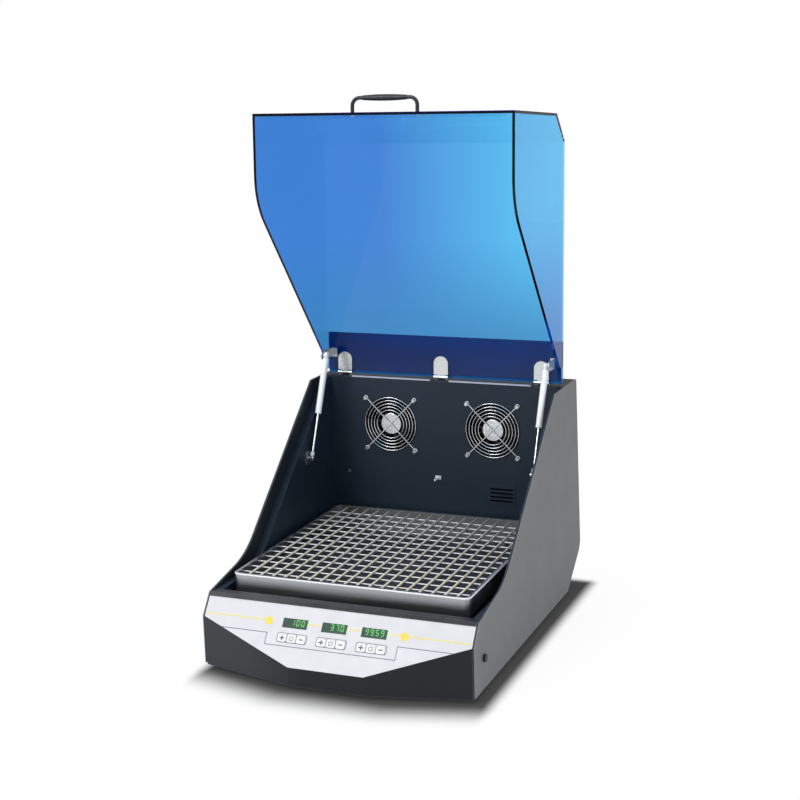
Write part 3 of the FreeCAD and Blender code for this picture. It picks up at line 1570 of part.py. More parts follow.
os.makedirs("parts", exist_ok=True)
for label, obj in pieces.items():
    obj.Shape.exportStep("parts/%s.step" % label)
print("%d pieces written" % len(pieces))
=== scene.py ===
import math

import bpy
import numpy as np
from bpy.props import FloatProperty, FloatVectorProperty, IntProperty, PointerProperty
from bpy.types import NodeSocket, Operator, Panel, PropertyGroup
from mathutils import Matrix, Vector


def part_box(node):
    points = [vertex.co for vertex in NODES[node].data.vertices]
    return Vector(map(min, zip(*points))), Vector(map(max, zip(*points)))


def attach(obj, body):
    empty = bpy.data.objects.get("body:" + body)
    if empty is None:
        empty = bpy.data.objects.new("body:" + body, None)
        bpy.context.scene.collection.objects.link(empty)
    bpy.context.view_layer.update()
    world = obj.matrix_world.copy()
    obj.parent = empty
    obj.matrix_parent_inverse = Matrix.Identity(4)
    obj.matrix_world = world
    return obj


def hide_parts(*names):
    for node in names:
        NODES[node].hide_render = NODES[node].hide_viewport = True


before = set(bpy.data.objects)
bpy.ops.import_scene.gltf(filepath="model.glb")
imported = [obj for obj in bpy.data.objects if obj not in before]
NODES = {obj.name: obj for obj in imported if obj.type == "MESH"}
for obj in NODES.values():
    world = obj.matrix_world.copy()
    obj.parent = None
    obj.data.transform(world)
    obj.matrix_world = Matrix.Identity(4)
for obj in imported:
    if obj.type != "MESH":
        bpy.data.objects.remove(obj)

bl_info = {
    "name": "Shaking Incubator",
    "version": (1, 0, 0),
    "blender": (4, 5, 0),
    "location": "View3D > Sidebar > Incubator",
    "description": "Finishes, panel graphics, wires and studio for a benchtop shaking incubator",
    "category": "Object",
}

STATIONS = ("left", "middle", "right")
KEYS = ("plus", "set", "minus")

# The sloping front panel: a point on its kink line, the way up the slope and the way out of it.
PANEL_ORIGIN = np.array([0.0, -0.3035, 0.1005])
PANEL_RIGHT = np.array([1.0, 0.0, 0.0])
PANEL_UP = np.array([0.0, 0.59471, 0.80394])
PANEL_OUT = np.array([0.0, -0.80394, 0.59471])

# The print, across the panel and up its slope: runs of the line, discs and stepped outline.
LINE_RUNS = ((-0.2515, -0.132), (-0.0505, -0.0245), (0.0245, 0.0505), (0.0995, 0.1245),
             (0.1375, 0.2515))
DISC_PLACES = (-0.1255, 0.131)
DISC_DROP = 0.001
OUTLINE_STEPS = ((-0.2135, -0.0155), (-0.1246, -0.0155), (-0.1246, -0.0361), (0.1219, -0.0361),
                 (0.1219, -0.0124), (0.221, -0.0124))
LIP_OVERHANG = 0.0006
# The outline round three keys: past the keys, height, corner, lift, and share of the line width.
FRAME_PAST, FRAME_HEIGHT, FRAME_CORNER, FRAME_LIFT, FRAME_LINE = 0.003, 0.0165, 0.0035, 0.001, 0.7

# What the displays show, and where: from a window's right edge, from its foot, and the point.
SHOWN = ("100", "37.0", "99.59")
DIGIT_MARGIN, DIGIT_FOOT, DIGIT_SHIFT = 0.0028, 0.0014, 0.0006
POINT_SHIFT, POINT_FOOT, POINT_RADIUS = 0.0012, 0.0022, 0.0006
# A digit's width and line as shares of its height, and the gap at a corner as a share of the line.
DIGIT_WIDTH, DIGIT_LINE, DIGIT_GAP = 0.56, 0.13, 0.12
# The windows' dark glass, and the painted glow of the lit digits on the glass under them.
GLASS_DARK, PAINTED_DIGIT_GLOW = (0.006, 0.038, 0.027), (0.006, 0.065, 0.02)
SEGMENTS = {
    "0": "abcdef", "1": "bc", "2": "abged", "3": "abgcd", "4": "fgbc", "5": "afgcd",
    "6": "afgedc", "7": "abc", "8": "abcdefg", "9": "abcdfg",
}
# Ends of the segments: 0 or 1 across the digit, and 0 to 2 up it.
SEGMENT_ENDS = {
    "a": ((0, 2), (1, 2)), "b": ((1, 1), (1, 2)), "c": ((1, 0), (1, 1)), "d": ((0, 0), (1, 0)),
    "e": ((0, 0), (0, 1)), "f": ((0, 1), (0, 2)), "g": ((0, 1), (1, 1)),
}

# Marks on the keys: reach and half width of an arm, the square's side, corner and line.
MARK_ARM, MARK_HALF, MINUS_SHARE, INK_DEPTH = 0.0042, 0.00095, 0.8, 0.0001
SQUARE_SIDE, SQUARE_CORNER, SQUARE_LINE = 0.0066, 0.0014, 0.0009

# The leaning rear wall: the line of its outer face, and how far it moves back for each metre down.
REAR_TOP_Y = 0.3205
REAR_TOP_Z = 0.434
REAR_LEAN = 26.0 / 353.0
FILTER_CORNER = 0.006

# Half the width of the front cover's middle facet, and where the painted shade on its middle and
# right starts.
FACET_START = 0.1
SHADE_START, SHADE_SOFT = -0.04, 0.12
# Past the side sheets' inner faces, and how soft the change to their painted shade is.
INNER_SHADE_PAST, INNER_SHADE_SOFT = 0.0002, 0.0003
# A pale strip painted as the highlight along the roof's front edge: its two runs from side to side,
# and its section from the roof's front edge.
HIGHLIGHT_RUNS = ((-0.19, -0.02), (0.02, 0.19))
HIGHLIGHT_Y, HIGHLIGHT_Z = (-0.0006, 0.003, 0.003, -0.0006), (-0.0016, -0.0016, 0.0012, 0.0012)

# How far the guards' spokes lie before their back face, how far the rings lie before the spokes
# in wire radii, and the hub disc's back, rim, face and bevel.
SPOKE_SETBACK, RING_LEAD = 0.0012, 1.4
DISC_BACK, DISC_RIM, DISC_FACE, DISC_BEVEL = -0.0003, 0.0002, 0.0005, 0.0006

# How far the open hood's roof leans back from upright, in degrees, and its sheet's thickness.
HOOD_LEAN = 2.5
HOOD_SHEET = 0.005
# Where the painted light and shade turn the hood's tint: from side to side, towards the hinge and
# up the right wall.
LIGHT_ACROSS, SHADE_LOW, LIGHT_WALL = (-0.12, 0.26), (0.52, 0.72), (0.45, 0.8)
LOW_SHADE_SHARE = 0.85
# Where the hood's cut edges stop: short of the roof, short of the bevel and below its lower end.
SHORT_OF_ROOF, SHORT_OF_BEVEL, BELOW_BEVEL, EDGE_SOFT = 0.007, 0.078, 0.118, 0.002

# The gas springs at rest: lower pivot on the right, direction and length between the pivots.
SPRING_FOOT = (0.231, 0.1145, 0.288)
SPRING_AXIS = (0.0, 0.410958, 0.911655)
SPRING_LENGTH = 0.2117
# Their end fittings: part, place along the spring, radius, and how far down and up they reach.
FITTINGS = (("rod", 0.0, 0.0042, -0.0055, 0.013),
            ("barrel", SPRING_LENGTH, 0.0054, -0.012, 0.006))
FITTING_BEVEL = 0.0015

# Thickness of the tray's sheet, and the corners of its bead and its lining.
TRAY_WALL = 0.0015
BEAD_CORNER, LINING_CORNER = 0.011, 0.009
LINING_LEVELS = (-0.0002, 0.001)
# A spring wire's plain end: the rounding at its tip and its share of the radius, its length and
# the cone to the coil.
TIP, TIP_SHARE, TAIL, CONE = 0.0002, 0.6, 0.0075, 0.001

# Lamps (name, place, size) and the camera's place and turns.
LAMPS = (("key", (-1.7, -3.1, 2.9), 2.0), ("fill", (3.2, -1.6, 2.0), 2.0),
         ("top", (0.2, 0.1, 3.6), 2.4))
LAMP_AIM = (0.0, 0.0, 0.35)
CAMERA_PLACE = (1.0734, -2.5758, 1.0648)
CAMERA_YAW, CAMERA_PITCH, CAMERA_ROLL = 0.391369312, 0.218682386, -0.0282431053
# The floor's painted shadow starts inside the footprint. The white share grows away from the
# machine.
SHADOW_START, WHITE_SHARE, WHITE_RANGE = -0.02, (0.93, 1.0), (0.35, 0.7)

# Finishes: base colour (none where a setting gives it), depth of the mottling, scale of the
# mottling, scale of the grain, depth of the grain in metres, range of roughness, and the rest.
# The edge colours are painted highlights along the edges; on the spring coat the painted edge is a
# little darker.
FINISHES = {
    "Side Coat": (None, 0.05, 5.0, 700.0, 0.00006, (0.42, 0.5), dict(
        edge=(0.3, 0.31, 0.33), edge_amount=0.3, Specular_IOR_Level=0.35)),
    "Front Coat": (None, 0.1, 6.0, 700.0, 0.00006, (0.38, 0.5), dict(
        edge=(0.16, 0.17, 0.21), edge_amount=0.7, Specular_IOR_Level=0.25)),
    "Chamber Coat": (None, 0.2, 5.0, 700.0, 0.00005, (0.34, 0.5), dict(
        edge=(0.1, 0.12, 0.17), edge_amount=0.7, Specular_IOR_Level=0.25)),
    "Rail Coat": (None, 0.15, 8.0, 700.0, 0.00004, (0.5, 0.6), dict(Specular_IOR_Level=0.15)),
    "Printed Film": (None, 0.03, 12.0, 1400.0, 0.000012, (0.34, 0.44), {}),
    "Yellow Print": (None, 0.08, 30.0, 1400.0, 0.00001, (0.4, 0.5), {}),
    "Disc Print": (None, 0.08, 30.0, 1400.0, 0.00001, (0.4, 0.5), {}),
    "Grey Print": (None, 0.1, 30.0, 1400.0, 0.00001, (0.4, 0.5), {}),
    "Tray Lining": (None, 0.3, 20.0, 900.0, 0.00006, (0.4, 0.55), {}),
    "Satin Steel": (None, 0.1, 10.0, 450.0, 0.00002, (0.26, 0.4), dict(
        stretch=(0.1, 1.0, 1.0), metallic=1.0, edge=(0.95, 0.95, 0.97), edge_width=0.0012,
        edge_amount=0.8)),
    "Probe White": ((0.8, 0.81, 0.83), 0.08, 60.0, 1200.0, 0.00002, (0.3, 0.42), {}),
    "Key White": ((0.69, 0.69, 0.705), 0.04, 60.0, 1400.0, 0.00001, (0.3, 0.42), {}),
    "Key Ink": ((0.03, 0.03, 0.035), 0.2, 60.0, 1400.0, 0.00001, (0.4, 0.5), {}),
    "Hub Foil": ((0.8, 0.81, 0.83), 0.25, 90.0, 800.0, 0.00004, (0.2, 0.45), dict(metallic=1.0)),
    "Bright Wire": ((0.8, 0.81, 0.83), 0.12, 30.0, 1600.0, 0.000008, (0.12, 0.26),
                    dict(metallic=1.0)),
    "Bright Spoke": ((0.8, 0.82, 0.85), 0.1, 30.0, 1600.0, 0.00001, (0.25, 0.4), {}),
    "Cross Wire": ((0.93, 0.93, 0.95), 0.1, 30.0, 1600.0, 0.000006, (0.25, 0.4), {}),
    "Bright Bead": ((0.9, 0.91, 0.93), 0.06, 20.0, 900.0, 0.00001, (0.25, 0.4), {}),
    "Filter Foam": ((0.02, 0.02, 0.022), 0.5, 60.0, 500.0, 0.0008, (0.7, 0.9), {}),
    "Pale Seal": ((0.5, 0.52, 0.6), 0.1, 30.0, 900.0, 0.00003, (0.45, 0.6), {}),
    "Pale Fitting": ((0.72, 0.76, 0.8), 0.1, 60.0, 1000.0, 0.00002, (0.25, 0.4), {}),
    "Spring Coat": ((0.94, 0.95, 0.97), 0.06, 20.0, 1000.0, 0.00002, (0.28, 0.4), dict(
        edge=(0.85, 0.85, 0.87), edge_width=0.0008, Coat_Weight=0.5)),
    "Hinge Plate": ((0.76, 0.77, 0.76), 0.05, 40.0, 900.0, 0.000006, (0.22, 0.3), dict(
        metallic=1.0, edge=(0.95, 0.95, 0.95), edge_amount=0.7)),
    "Brushed Steel": ((0.6, 0.61, 0.63), 0.14, 14.0, 500.0, 0.00002, (0.24, 0.4), dict(
        stretch=(0.08, 1.0, 1.0), metallic=1.0)),
    "Machined Aluminium": ((0.78, 0.79, 0.81), 0.1, 18.0, 700.0, 0.000015, (0.28, 0.42), dict(
        stretch=(1.0, 1.0, 0.15), metallic=1.0)),
    "Black Moulding": ((0.013, 0.014, 0.018), 0.2, 25.0, 1100.0, 0.00005, (0.32, 0.5), dict(
        edge=(0.06, 0.065, 0.08), edge_width=0.0008)),
    "Black Rubber": ((0.018, 0.018, 0.02), 0.3, 40.0, 700.0, 0.00012, (0.6, 0.8), {}),
}


# Settings


def length(name, description, default):
    """A size in metres."""
    return FloatProperty(name=name, description=description, default=default, min=0.0,
                         unit="LENGTH", precision=4)


def colour(name, description, default):
    """A colour in linear light."""
    return FloatVectorProperty(name=name, description=description, default=default, size=3,
                               min=0.0, max=1.0, subtype="COLOR")


def amount(name, description, default, top=1.0):
    """A plain number."""
    return FloatProperty(name=name, description=description, default=default, min=0.0, max=top)


class CabinetSettings(PropertyGroup):
    side_colour: colour("Side colour", "Coat on the sides and the back", (0.182, 0.185, 0.191))
    front_colour: colour("Front colour", "Coat on the front cover", (0.035, 0.037, 0.043))
    # Painted shade: the front cover's middle and right are darker, as the key lamp reaches them
    # less.
    shade_colour: colour("Shaded colour", "Coat on the front cover's middle and right",
                         (0.01, 0.0115, 0.0155))
    # Painted shade: the inner faces of the side sheets are darkened, as they lie in shade inside
    # the chamber.
    inner_shade_colour: colour("Inner shade colour", "Coat on the inner faces of the sides",
                         (0.014, 0.019, 0.028))
    sheet: length("Sheet", "Thickness of the side sheets", 0.0015)
    liner_colour: colour("Chamber colour", "Powder coat inside the chamber", (0.017, 0.028, 0.046))
    # Painted highlight: a lighter line along the edges, where they catch the light.
    edge_width: length("Edge highlight width", "Width of the lighter line along the edges", 0.0012)


class PanelSettings(PropertyGroup):
    film_colour: colour("Film colour", "Printed film on the sloping front", (0.61, 0.615, 0.65))
    line_colour: colour("Line colour", "Line across the film", (0.8, 0.69, 0.16))
    disc_colour: colour("Disc colour", "Two discs on the line", (0.84, 0.66, 0.05))
    outline_colour: colour("Outline colour", "Thin grey outlines on the film", (0.13, 0.13, 0.17))
    digit_colour: colour("Digit colour", "Lit segments of the displays", (0.05, 0.5, 0.05))
    line_height: length("Line height", "Height of the line above the kink, along the slope", 0.007)
    line_width: length("Line width", "Width of the line", 0.0022)
    disc_radius: length("Disc radius", "Radius of the two discs", 0.0075)
    outline_width: length("Outline width", "Width of the grey outlines", 0.0013)
    digit_height: length("Digit height", "Height of a digit", 0.0112)
    digit_pitch: length("Digit pitch", "Distance between digits", 0.0096)
    station_pitch: length("Station pitch", "Distance between the displays", 0.075)
    lip_depth: length("Lip depth", "Width of the dark lip above the film", 0.0075)
    lip_height: length("Lip height", "Thickness of the dark lip", 0.0007)
    print_height: length("Print height", "Thickness of the print", 0.00012)


class FanSettings(PropertyGroup):
    wire_radius: length("Wire radius", "Radius of the guard's wire", 0.001)
    outer_ring: length("Outer ring", "Radius of the outer ring", 0.055)
    ring_step: length("Ring step", "Distance between rings", 0.0065)
    ring_count: IntProperty(name="Rings", description="Number of rings", default=5, min=1, max=9)
    ear_radius: length("Ear radius", "Radius of the loop round a screw", 0.0034)
    hole_half: length("Hole spacing", "Half the spacing of the fixing holes", 0.0525)
    filter_size: length("Filter size", "Side of the foam mat behind a fan", 0.118)
    filter_depth: length("Filter depth", "Thickness of the foam mat", 0.004)
    filter_gap: length("Filter gap", "From the rear wall's outside to the mat", 0.0027)
    badge_radius: length("Hub disc radius", "Radius of the bright disc on the hub", 0.0215)


class TraySettings(PropertyGroup):
    coil_radius: length("Coil radius", "Radius of a close-wound spring wire", 0.0019)
    tail_radius: length("Tail radius", "Radius of the plain ends of a spring wire", 0.0008)
    coil_pitch: length("Coil pitch", "Distance between the turns of the coil", 0.0012)
    wire_count: IntProperty(name="Spring wires", description="Number of spring wires", default=18,
                            min=2, max=40)
    wire_colour: colour("Wire colour", "Coating of the spring wires", (0.96, 0.9, 0.68))
    steel_colour: colour("Steel colour", "Satin steel of the tray", (0.5, 0.52, 0.54))
    bead_radius: length("Bead radius", "Radius of the rolled rim", 0.002)
    lining_colour: colour("Lining colour", "Dark lining on the tray's floor",
                          (0.02, 0.022, 0.035))
    lining_gap: length("Lining gap", "Gap between the lining and the tray's wall", 0.002)


class HoodSettings(PropertyGroup):
    # Painted light and shade on the sheet: darker at the left and near the hinge, lighter at the
    # right and high on the right side wall.
    left_shaded_tint: colour("Left shaded tint", "Blue of the sheet at the left", (0.085, 0.26, 0.7))
    right_lit_tint: colour("Right lit tint", "Blue of the sheet at the right", (0.17, 0.68, 1.0))
    low_shaded_tint: colour("Low shaded tint", "Blue of the sheet near the hinge", (0.075, 0.28, 0.55))
    wall_lit_tint: colour("Wall lit tint", "Blue of the right side wall, high up", (0.7, 0.92, 1.0))
    foot_shaded_tint: colour("Foot shaded tint", "Blue of the right side wall, low down", (0.42, 0.55, 0.92))
    edge_tint: colour("Edge tint", "Blue of the cut edges", (0.001, 0.008, 0.1))
    rail_colour: colour("Rail colour", "Coat on the rail behind the sheet", (0.01, 0.14, 0.4))
    rail_half: length("Rail half width", "From the rail's middle to its end", 0.2475)
    depth: amount("Depth of tint", "How fast the sheet takes out red, per metre", 60.0, 5000.0)


class StudioSettings(PropertyGroup):
    sky: amount("Surrounding light", "Strength of the even light all round", 0.52, 10.0)
    key: amount("Key lamp", "Power of the soft lamp at the front left", 90.0, 1000.0)
    fill: amount("Fill lamp", "Power of the soft lamp at the right", 18.5, 1000.0)
    top: amount("Top lamp", "Power of the soft lamp above", 37.0, 1000.0)
    # Painted shadow on the floor round the machine's foot.
    shadow_reach: length("Shadow reach", "How far the dark foot of the shadow goes", 0.105)
    side_narrowing: amount("Side narrowing", "How much narrower it is beside and behind", 3.0,
                           10.0)
    shadow_shift: length("Shadow shift", "How far the dark foot lies to the right", 0.012)
    floor_size: length("Floor size", "Side of the floor", 14.0)
    focal_length: FloatProperty(name="Focal length", description="Lens of the camera",
                                default=69.33, min=10.0, max=300.0, unit="CAMERA")


class IncubatorSettings(PropertyGroup):
    cabinet: PointerProperty(type=CabinetSettings)
    panel: PointerProperty(type=PanelSettings)
    fans: PointerProperty(type=FanSettings)
    tray: PointerProperty(type=TraySettings)
    hood: PointerProperty(type=HoodSettings)
    studio: PointerProperty(type=StudioSettings)


# Surfaces


def grid_surface(points, loop_rows=False):
    """Faces of a grid of points: each face joins four neighbours. Rows run along the shape, and
    are closed on themselves or end in one flat face each. Columns run round it."""
    rows, columns = points.shape[:2]
    index = np.arange(rows * columns).reshape(rows, columns)
    around = np.concatenate([index, index[:, :1]], 1)
    if loop_rows:
        around = np.concatenate([around, around[:1]], 0)
    quads = np.stack([around[:-1, :-1], around[:-1, 1:], around[1:, 1:], around[1:, :-1]], -1)
    faces = quads.reshape(-1, 4).tolist()
    if not loop_rows:
        faces.append(index[0, ::-1].tolist())
        faces.append(index[-1].tolist())
    return points.reshape(-1, 3), faces


def placed(centre, x, y, z):
    """Points at X, Y and Z from a centre, each a number or an array."""
    return np.asarray(centre, float) + np.stack(np.broadcast_arrays(x, y, z), -1)


def tube(path, radius, sides=12, side=(0.0, 0.0, 1.0), loop=False):
    """A round section carried along a path. At each point P with direction t, the surface is
    P + r (cos a * n + sin a * t x n), where n is the fixed side direction made square to t."""
    if loop:
        along = np.roll(path, -1, 0) - np.roll(path, 1, 0)
    else:
        along = np.gradient(path, axis=0)
    along /= np.linalg.norm(along, axis=1, keepdims=True)
    side = np.asarray(side, float)
    n = side - (along @ side)[:, None] * along
    n /= np.linalg.norm(n, axis=1, keepdims=True)
    b = np.cross(along, n)
    turn = np.linspace(0.0, 2.0 * np.pi, sides, endpoint=False)
    r = np.broadcast_to(np.asarray(radius, float), (len(path),))[:, None, None]
    ring = np.cos(turn)[None, :, None] * n[:, None, :] + np.sin(turn)[None, :, None] * b[:, None, :]
    return grid_surface(path[:, None, :] + r * ring, loop_rows=loop)


def on_panel(across, up, out):
    """Points of the sloping panel: origin + x * right + v * up + h * out."""
    across, up, out = np.broadcast_arrays(across, up, out)
    return (PANEL_ORIGIN + across[..., None] * PANEL_RIGHT + up[..., None] * PANEL_UP
            + out[..., None] * PANEL_OUT)


def plate(outline, low, high):
    """A flat plate on the panel: the outline at two heights, joined and closed."""
    outline = np.asarray(outline, float)
    level = np.array([low, high])[:, None]
    return grid_surface(on_panel(outline[None, :, 0], outline[None, :, 1], level))


def ribbon(path, width, low, high, loop=False):
    """A flat strip on the panel along a path of straight runs. The section is a rectangle, moved
    out at each corner by half the width over the cosine of half the turn."""
    path = np.asarray(path, float)
    if loop:
        after = np.roll(path, -1, 0) - path
        before = np.roll(after, 1, 0)
    else:
        after = np.diff(path, axis=0)
        after = np.concatenate([after, after[-1:]])
        before = np.concatenate([after[:1], after[:-1]])
    after /= np.linalg.norm(after, axis=1, keepdims=True)
    before = before / np.linalg.norm(before, axis=1, keepdims=True)
    left_after = np.stack([-after[:, 1], after[:, 0]], 1)
    left = left_after + np.stack([-before[:, 1], before[:, 0]], 1)
    left /= (left * left_after).sum(1)[:, None]
    across = np.array([-0.5, 0.5, 0.5, -0.5]) * width
    height = np.array([low, low, high, high])
    flat = path[:, None, :] + across[None, :, None] * left[:, None, :]
    return grid_surface(on_panel(flat[..., 0], flat[..., 1], height[None, :]), loop_rows=loop)


def rounded(width, height, corner, steps=6):
    """Outline of a rectangle with quarter-circle corners, counter-clockwise from lower right."""
    turn = np.linspace(0.0, np.pi / 2, steps)
    parts = []
    for k, (i, j) in enumerate(((1, -1), (1, 1), (-1, 1), (-1, -1))):
        angle = turn + (k - 1) * np.pi / 2
        centre = np.array([i * (width / 2 - corner), j * (height / 2 - corner)])
        parts.append(centre + corner * np.stack([np.cos(angle), np.sin(angle)], 1))
    return np.concatenate(parts)


def circle(radius, steps=40):
    """Outline of a circle, counter-clockwise."""
    turn = np.linspace(0.0, 2.0 * np.pi, steps, endpoint=False)
    return radius * np.stack([np.cos(turn), np.sin(turn)], 1)


def turned(profile, centre, axis, sides=40):
    """A profile of (radius, height) points turned about an axis through a centre: the surface is
    centre + r (cos a * n + sin a * axis x n) + h * axis. A radius of zero closes on one point."""
    axis = np.asarray(axis, float)
    n = np.array([1.0, 0.0, 0.0])
    n -= (n @ axis) * axis
    n /= np.linalg.norm(n)
    b = np.cross(axis, n)
    profile = np.asarray(profile, float)
    turn = np.linspace(0.0, 2.0 * np.pi, sides, endpoint=False)
    ring = np.cos(turn)[:, None] * n + np.sin(turn)[:, None] * b
    points = (np.asarray(centre, float) + profile[:, 0, None, None] * ring[None]
              + profile[:, 1, None, None] * axis)
    return grid_surface(points)


def make_piece(name, surfaces, material, body, smooth=False, stands_for=()):
    """One mesh object of several surfaces, with its finish, riding on a body."""
    points, faces, start = [], [], 0
    for surface_points, surface_faces in surfaces:
        points.append(surface_points)
        faces.extend([[start + i for i in face] for face in surface_faces])
        start += len(surface_points)
    mesh = bpy.data.meshes.new(name)
    mesh.from_pydata(np.concatenate(points).tolist(), [], faces)
    mesh.polygons.foreach_set("use_smooth", np.full(len(faces), smooth))
    if mesh.validate():
        raise RuntimeError("%s has faces that are not valid" % name)
    mesh.update()
    mesh.materials.append(material)
    obj = bpy.data.objects.new(name, mesh)
    bpy.context.scene.collection.objects.link(obj)
    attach(obj, body)
    if stands_for:
        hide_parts(*stands_for)
    return obj


# Places taken from the CAD nodes


def node_points(name):
    """The points of a node's mesh."""
    return np.array([v.co for v in NODES[name].data.vertices])


def panel_reach(name, way=PANEL_OUT):
    """How far a node reaches from the panel's origin, one way."""
    return float(((node_points(name) - PANEL_ORIGIN) @ way).max())


def panel_place(name):
    """The middle of a node's box on the panel: across it and up its slope."""
    low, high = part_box(name)
    middle = np.array((low + high) / 2) - PANEL_ORIGIN
    return np.array([middle[0], middle @ PANEL_UP])


def leaned(y, z, lean=math.radians(HOOD_LEAN)):
    """Y and Z turned by the lean of the open hood's roof: square to it, and along it."""
    return (y * math.cos(lean) - z * math.sin(lean), y * math.sin(lean) + z * math.cos(lean))


# Shared effects


def new_group(name, inputs, outputs):
    """An empty node group with named sockets."""
    tree = bpy.data.node_groups.new(name, "ShaderNodeTree")
    for label, kind, default in inputs:
        socket = tree.interface.new_socket(label, in_out="INPUT", socket_type="NodeSocket" + kind)
        if default is not None:
            socket.default_value = default
    for label, kind in outputs:
        tree.interface.new_socket(label, in_out="OUTPUT", socket_type="NodeSocket" + kind)
    return tree, tree.nodes.new("NodeGroupInput").outputs, tree.nodes.new("NodeGroupOutput")


def feed(tree, socket, value):
    """Gives an input a plain value, or links another node's output to it."""
    if isinstance(value, NodeSocket):
        tree.links.new(value, socket)
    else:
        socket.default_value = value


def fill(tree, node, **values):
    """Feeds the inputs of a node by name."""
    for key, value in values.items():
        feed(tree, node.inputs[key.replace("_", " ")], value)


def add(tree, kind, **values):
    """A node with its settings, and with its inputs fed."""
    node = tree.nodes.new("ShaderNode" + kind)
    for key, value in values.items():
        if hasattr(node, key):
            setattr(node, key, value)
        else:
            fill(tree, node, **{key: value})
    return node


def spread(tree, source, low, high, start=0.3, end=0.7):
    """Carries a value from the range start to end onto the range low to high."""
    return add(tree, "MapRange", Value=source, From_Min=start, From_Max=end, To_Min=low,
               To_Max=high).outputs["Result"]


def combine(tree, how, first, second=0.0):
    """A sum, product, difference or other combination of two values."""
    node = add(tree, "Math", operation=how)
    feed(tree, node.inputs[0], first)
    feed(tree, node.inputs[1], second)
    return node.outputs[0]


def tinted(tree, how, factor, first, second):
    """A mix of two colours by a factor."""
    node = add(tree, "Mix", data_type="RGBA", blend_type=how)
    for index, value in ((0, factor), (6, first), (7, second)):
        feed(tree, node.inputs[index], value)
    return node.outputs[2]


def grey(tree, value):
    """The grey of a value."""
    return add(tree, "CombineColor", Red=value, Green=value, Blue=value).outputs[0]


def rgba(value):
    """A colour with full cover."""
    return (value[0], value[1], value[2], 1.0)


def surface_grain():
    """Mottled colour, uneven gloss and a fine rough skin, from three scales of noise."""
    tree = bpy.data.node_groups.get("Surface Grain")
    if tree:
        return tree
    tree, given, result = new_group("Surface Grain", [
        ("Vector", "Vector", None), ("Color", "Color", (0.5, 0.5, 0.5, 1.0)),
        ("Shade", "Float", 0.1), ("Mottle Scale", "Float", 9.0), ("Grain Scale", "Float", 900.0),
        ("Grain Depth", "Float", 0.00004), ("Rough Low", "Float", 0.35),
        ("Rough High", "Float", 0.5),
    ], [("Color", "Color"), ("Roughness", "Float"), ("Normal", "Vector")])
    smear_scale = combine(tree, "MULTIPLY", given["Mottle Scale"], 3.7)
    mottle, smear, grain = (
        add(tree, "TexNoise", Vector=given["Vector"], Scale=scale, Detail=detail).outputs["Fac"]
        for scale, detail in ((given["Mottle Scale"], 3.0), (smear_scale, 4.0),
                              (given["Grain Scale"], 2.0)))
    tone = spread(tree, mottle, combine(tree, "SUBTRACT", 1.0, given["Shade"]), 1.0)
    bump = add(tree, "Bump", Strength=1.0, Distance=given["Grain Depth"], Height=grain)
    fill(tree, result,
         Color=tinted(tree, "MULTIPLY", 1.0, given["Color"], grey(tree, tone)),
         Roughness=spread(tree, smear, given["Rough Low"], given["Rough High"]),
         Normal=bump.outputs["Normal"])
    return tree


def painted_edge_highlight():
    """A painted highlight along the edges, from a mask that is 1 on sharp edges and 0 on flat
    faces: the true normal is set against the normal of the same spot with its edges rounded, and
    noise breaks the line up."""
    tree = bpy.data.node_groups.get("Worn Edges")
    if tree:
        return tree
    tree, given, result = new_group("Worn Edges", [
        ("Vector", "Vector", None), ("Color", "Color", (0.5, 0.5, 0.5, 1.0)),
        ("Edge Color", "Color", (0.8, 0.8, 0.8, 1.0)), ("Width", "Float", 0.001),
        ("Amount", "Float", 0.5),
    ], [("Color", "Color"), ("Mask", "Float")])
    turn = add(tree, "VectorMath", operation="DOT_PRODUCT")
    round_edge = add(tree, "Bevel", samples=4, Radius=given["Width"])
    feed(tree, turn.inputs[0], round_edge.outputs["Normal"])
    feed(tree, turn.inputs[1], add(tree, "NewGeometry").outputs["Normal"])
    bend = spread(tree, turn.outputs["Value"], 1.0, 0.0, 0.86, 0.99)
    noise = add(tree, "TexNoise", Vector=given["Vector"], Scale=60.0, Detail=3.0)
    broken = spread(tree, noise.outputs["Fac"], 0.35, 1.0)
    mask = combine(tree, "MULTIPLY", combine(tree, "MULTIPLY", bend, broken), given["Amount"])
    fill(tree, result, Color=tinted(tree, "MIX", mask, given["Color"], given["Edge Color"]),
         Mask=mask)
    return tree


# Finishes


def blank_material(name, metallic=0.0, **sockets):
    """A material with plain values on its shader's sockets, and its coordinates."""
    material = bpy.data.materials.new(name)
    material.use_nodes = True
    tree = material.node_tree
    shader = tree.nodes["Principled BSDF"]
    fill(tree, shader, Metallic=metallic, **sockets)
    return material, tree, shader, add(tree, "TexCoord").outputs


def give_grain(tree, shader, place, base, shade, mottle, grain, depth, rough, skin=True):
    """Puts the surface grain's gloss, and its skin if wanted, on a shader. Gives its colour."""
    effect = add(tree, "Group", node_tree=surface_grain(), Vector=place, Color=rgba(base),
                 Shade=shade, Mottle_Scale=mottle, Grain_Scale=grain, Grain_Depth=depth,
                 Rough_Low=rough[0], Rough_High=rough[1])
    fill(tree, shader, Roughness=effect.outputs["Roughness"])
    if skin:
        fill(tree, shader, Normal=effect.outputs["Normal"])
    return effect.outputs["Color"]


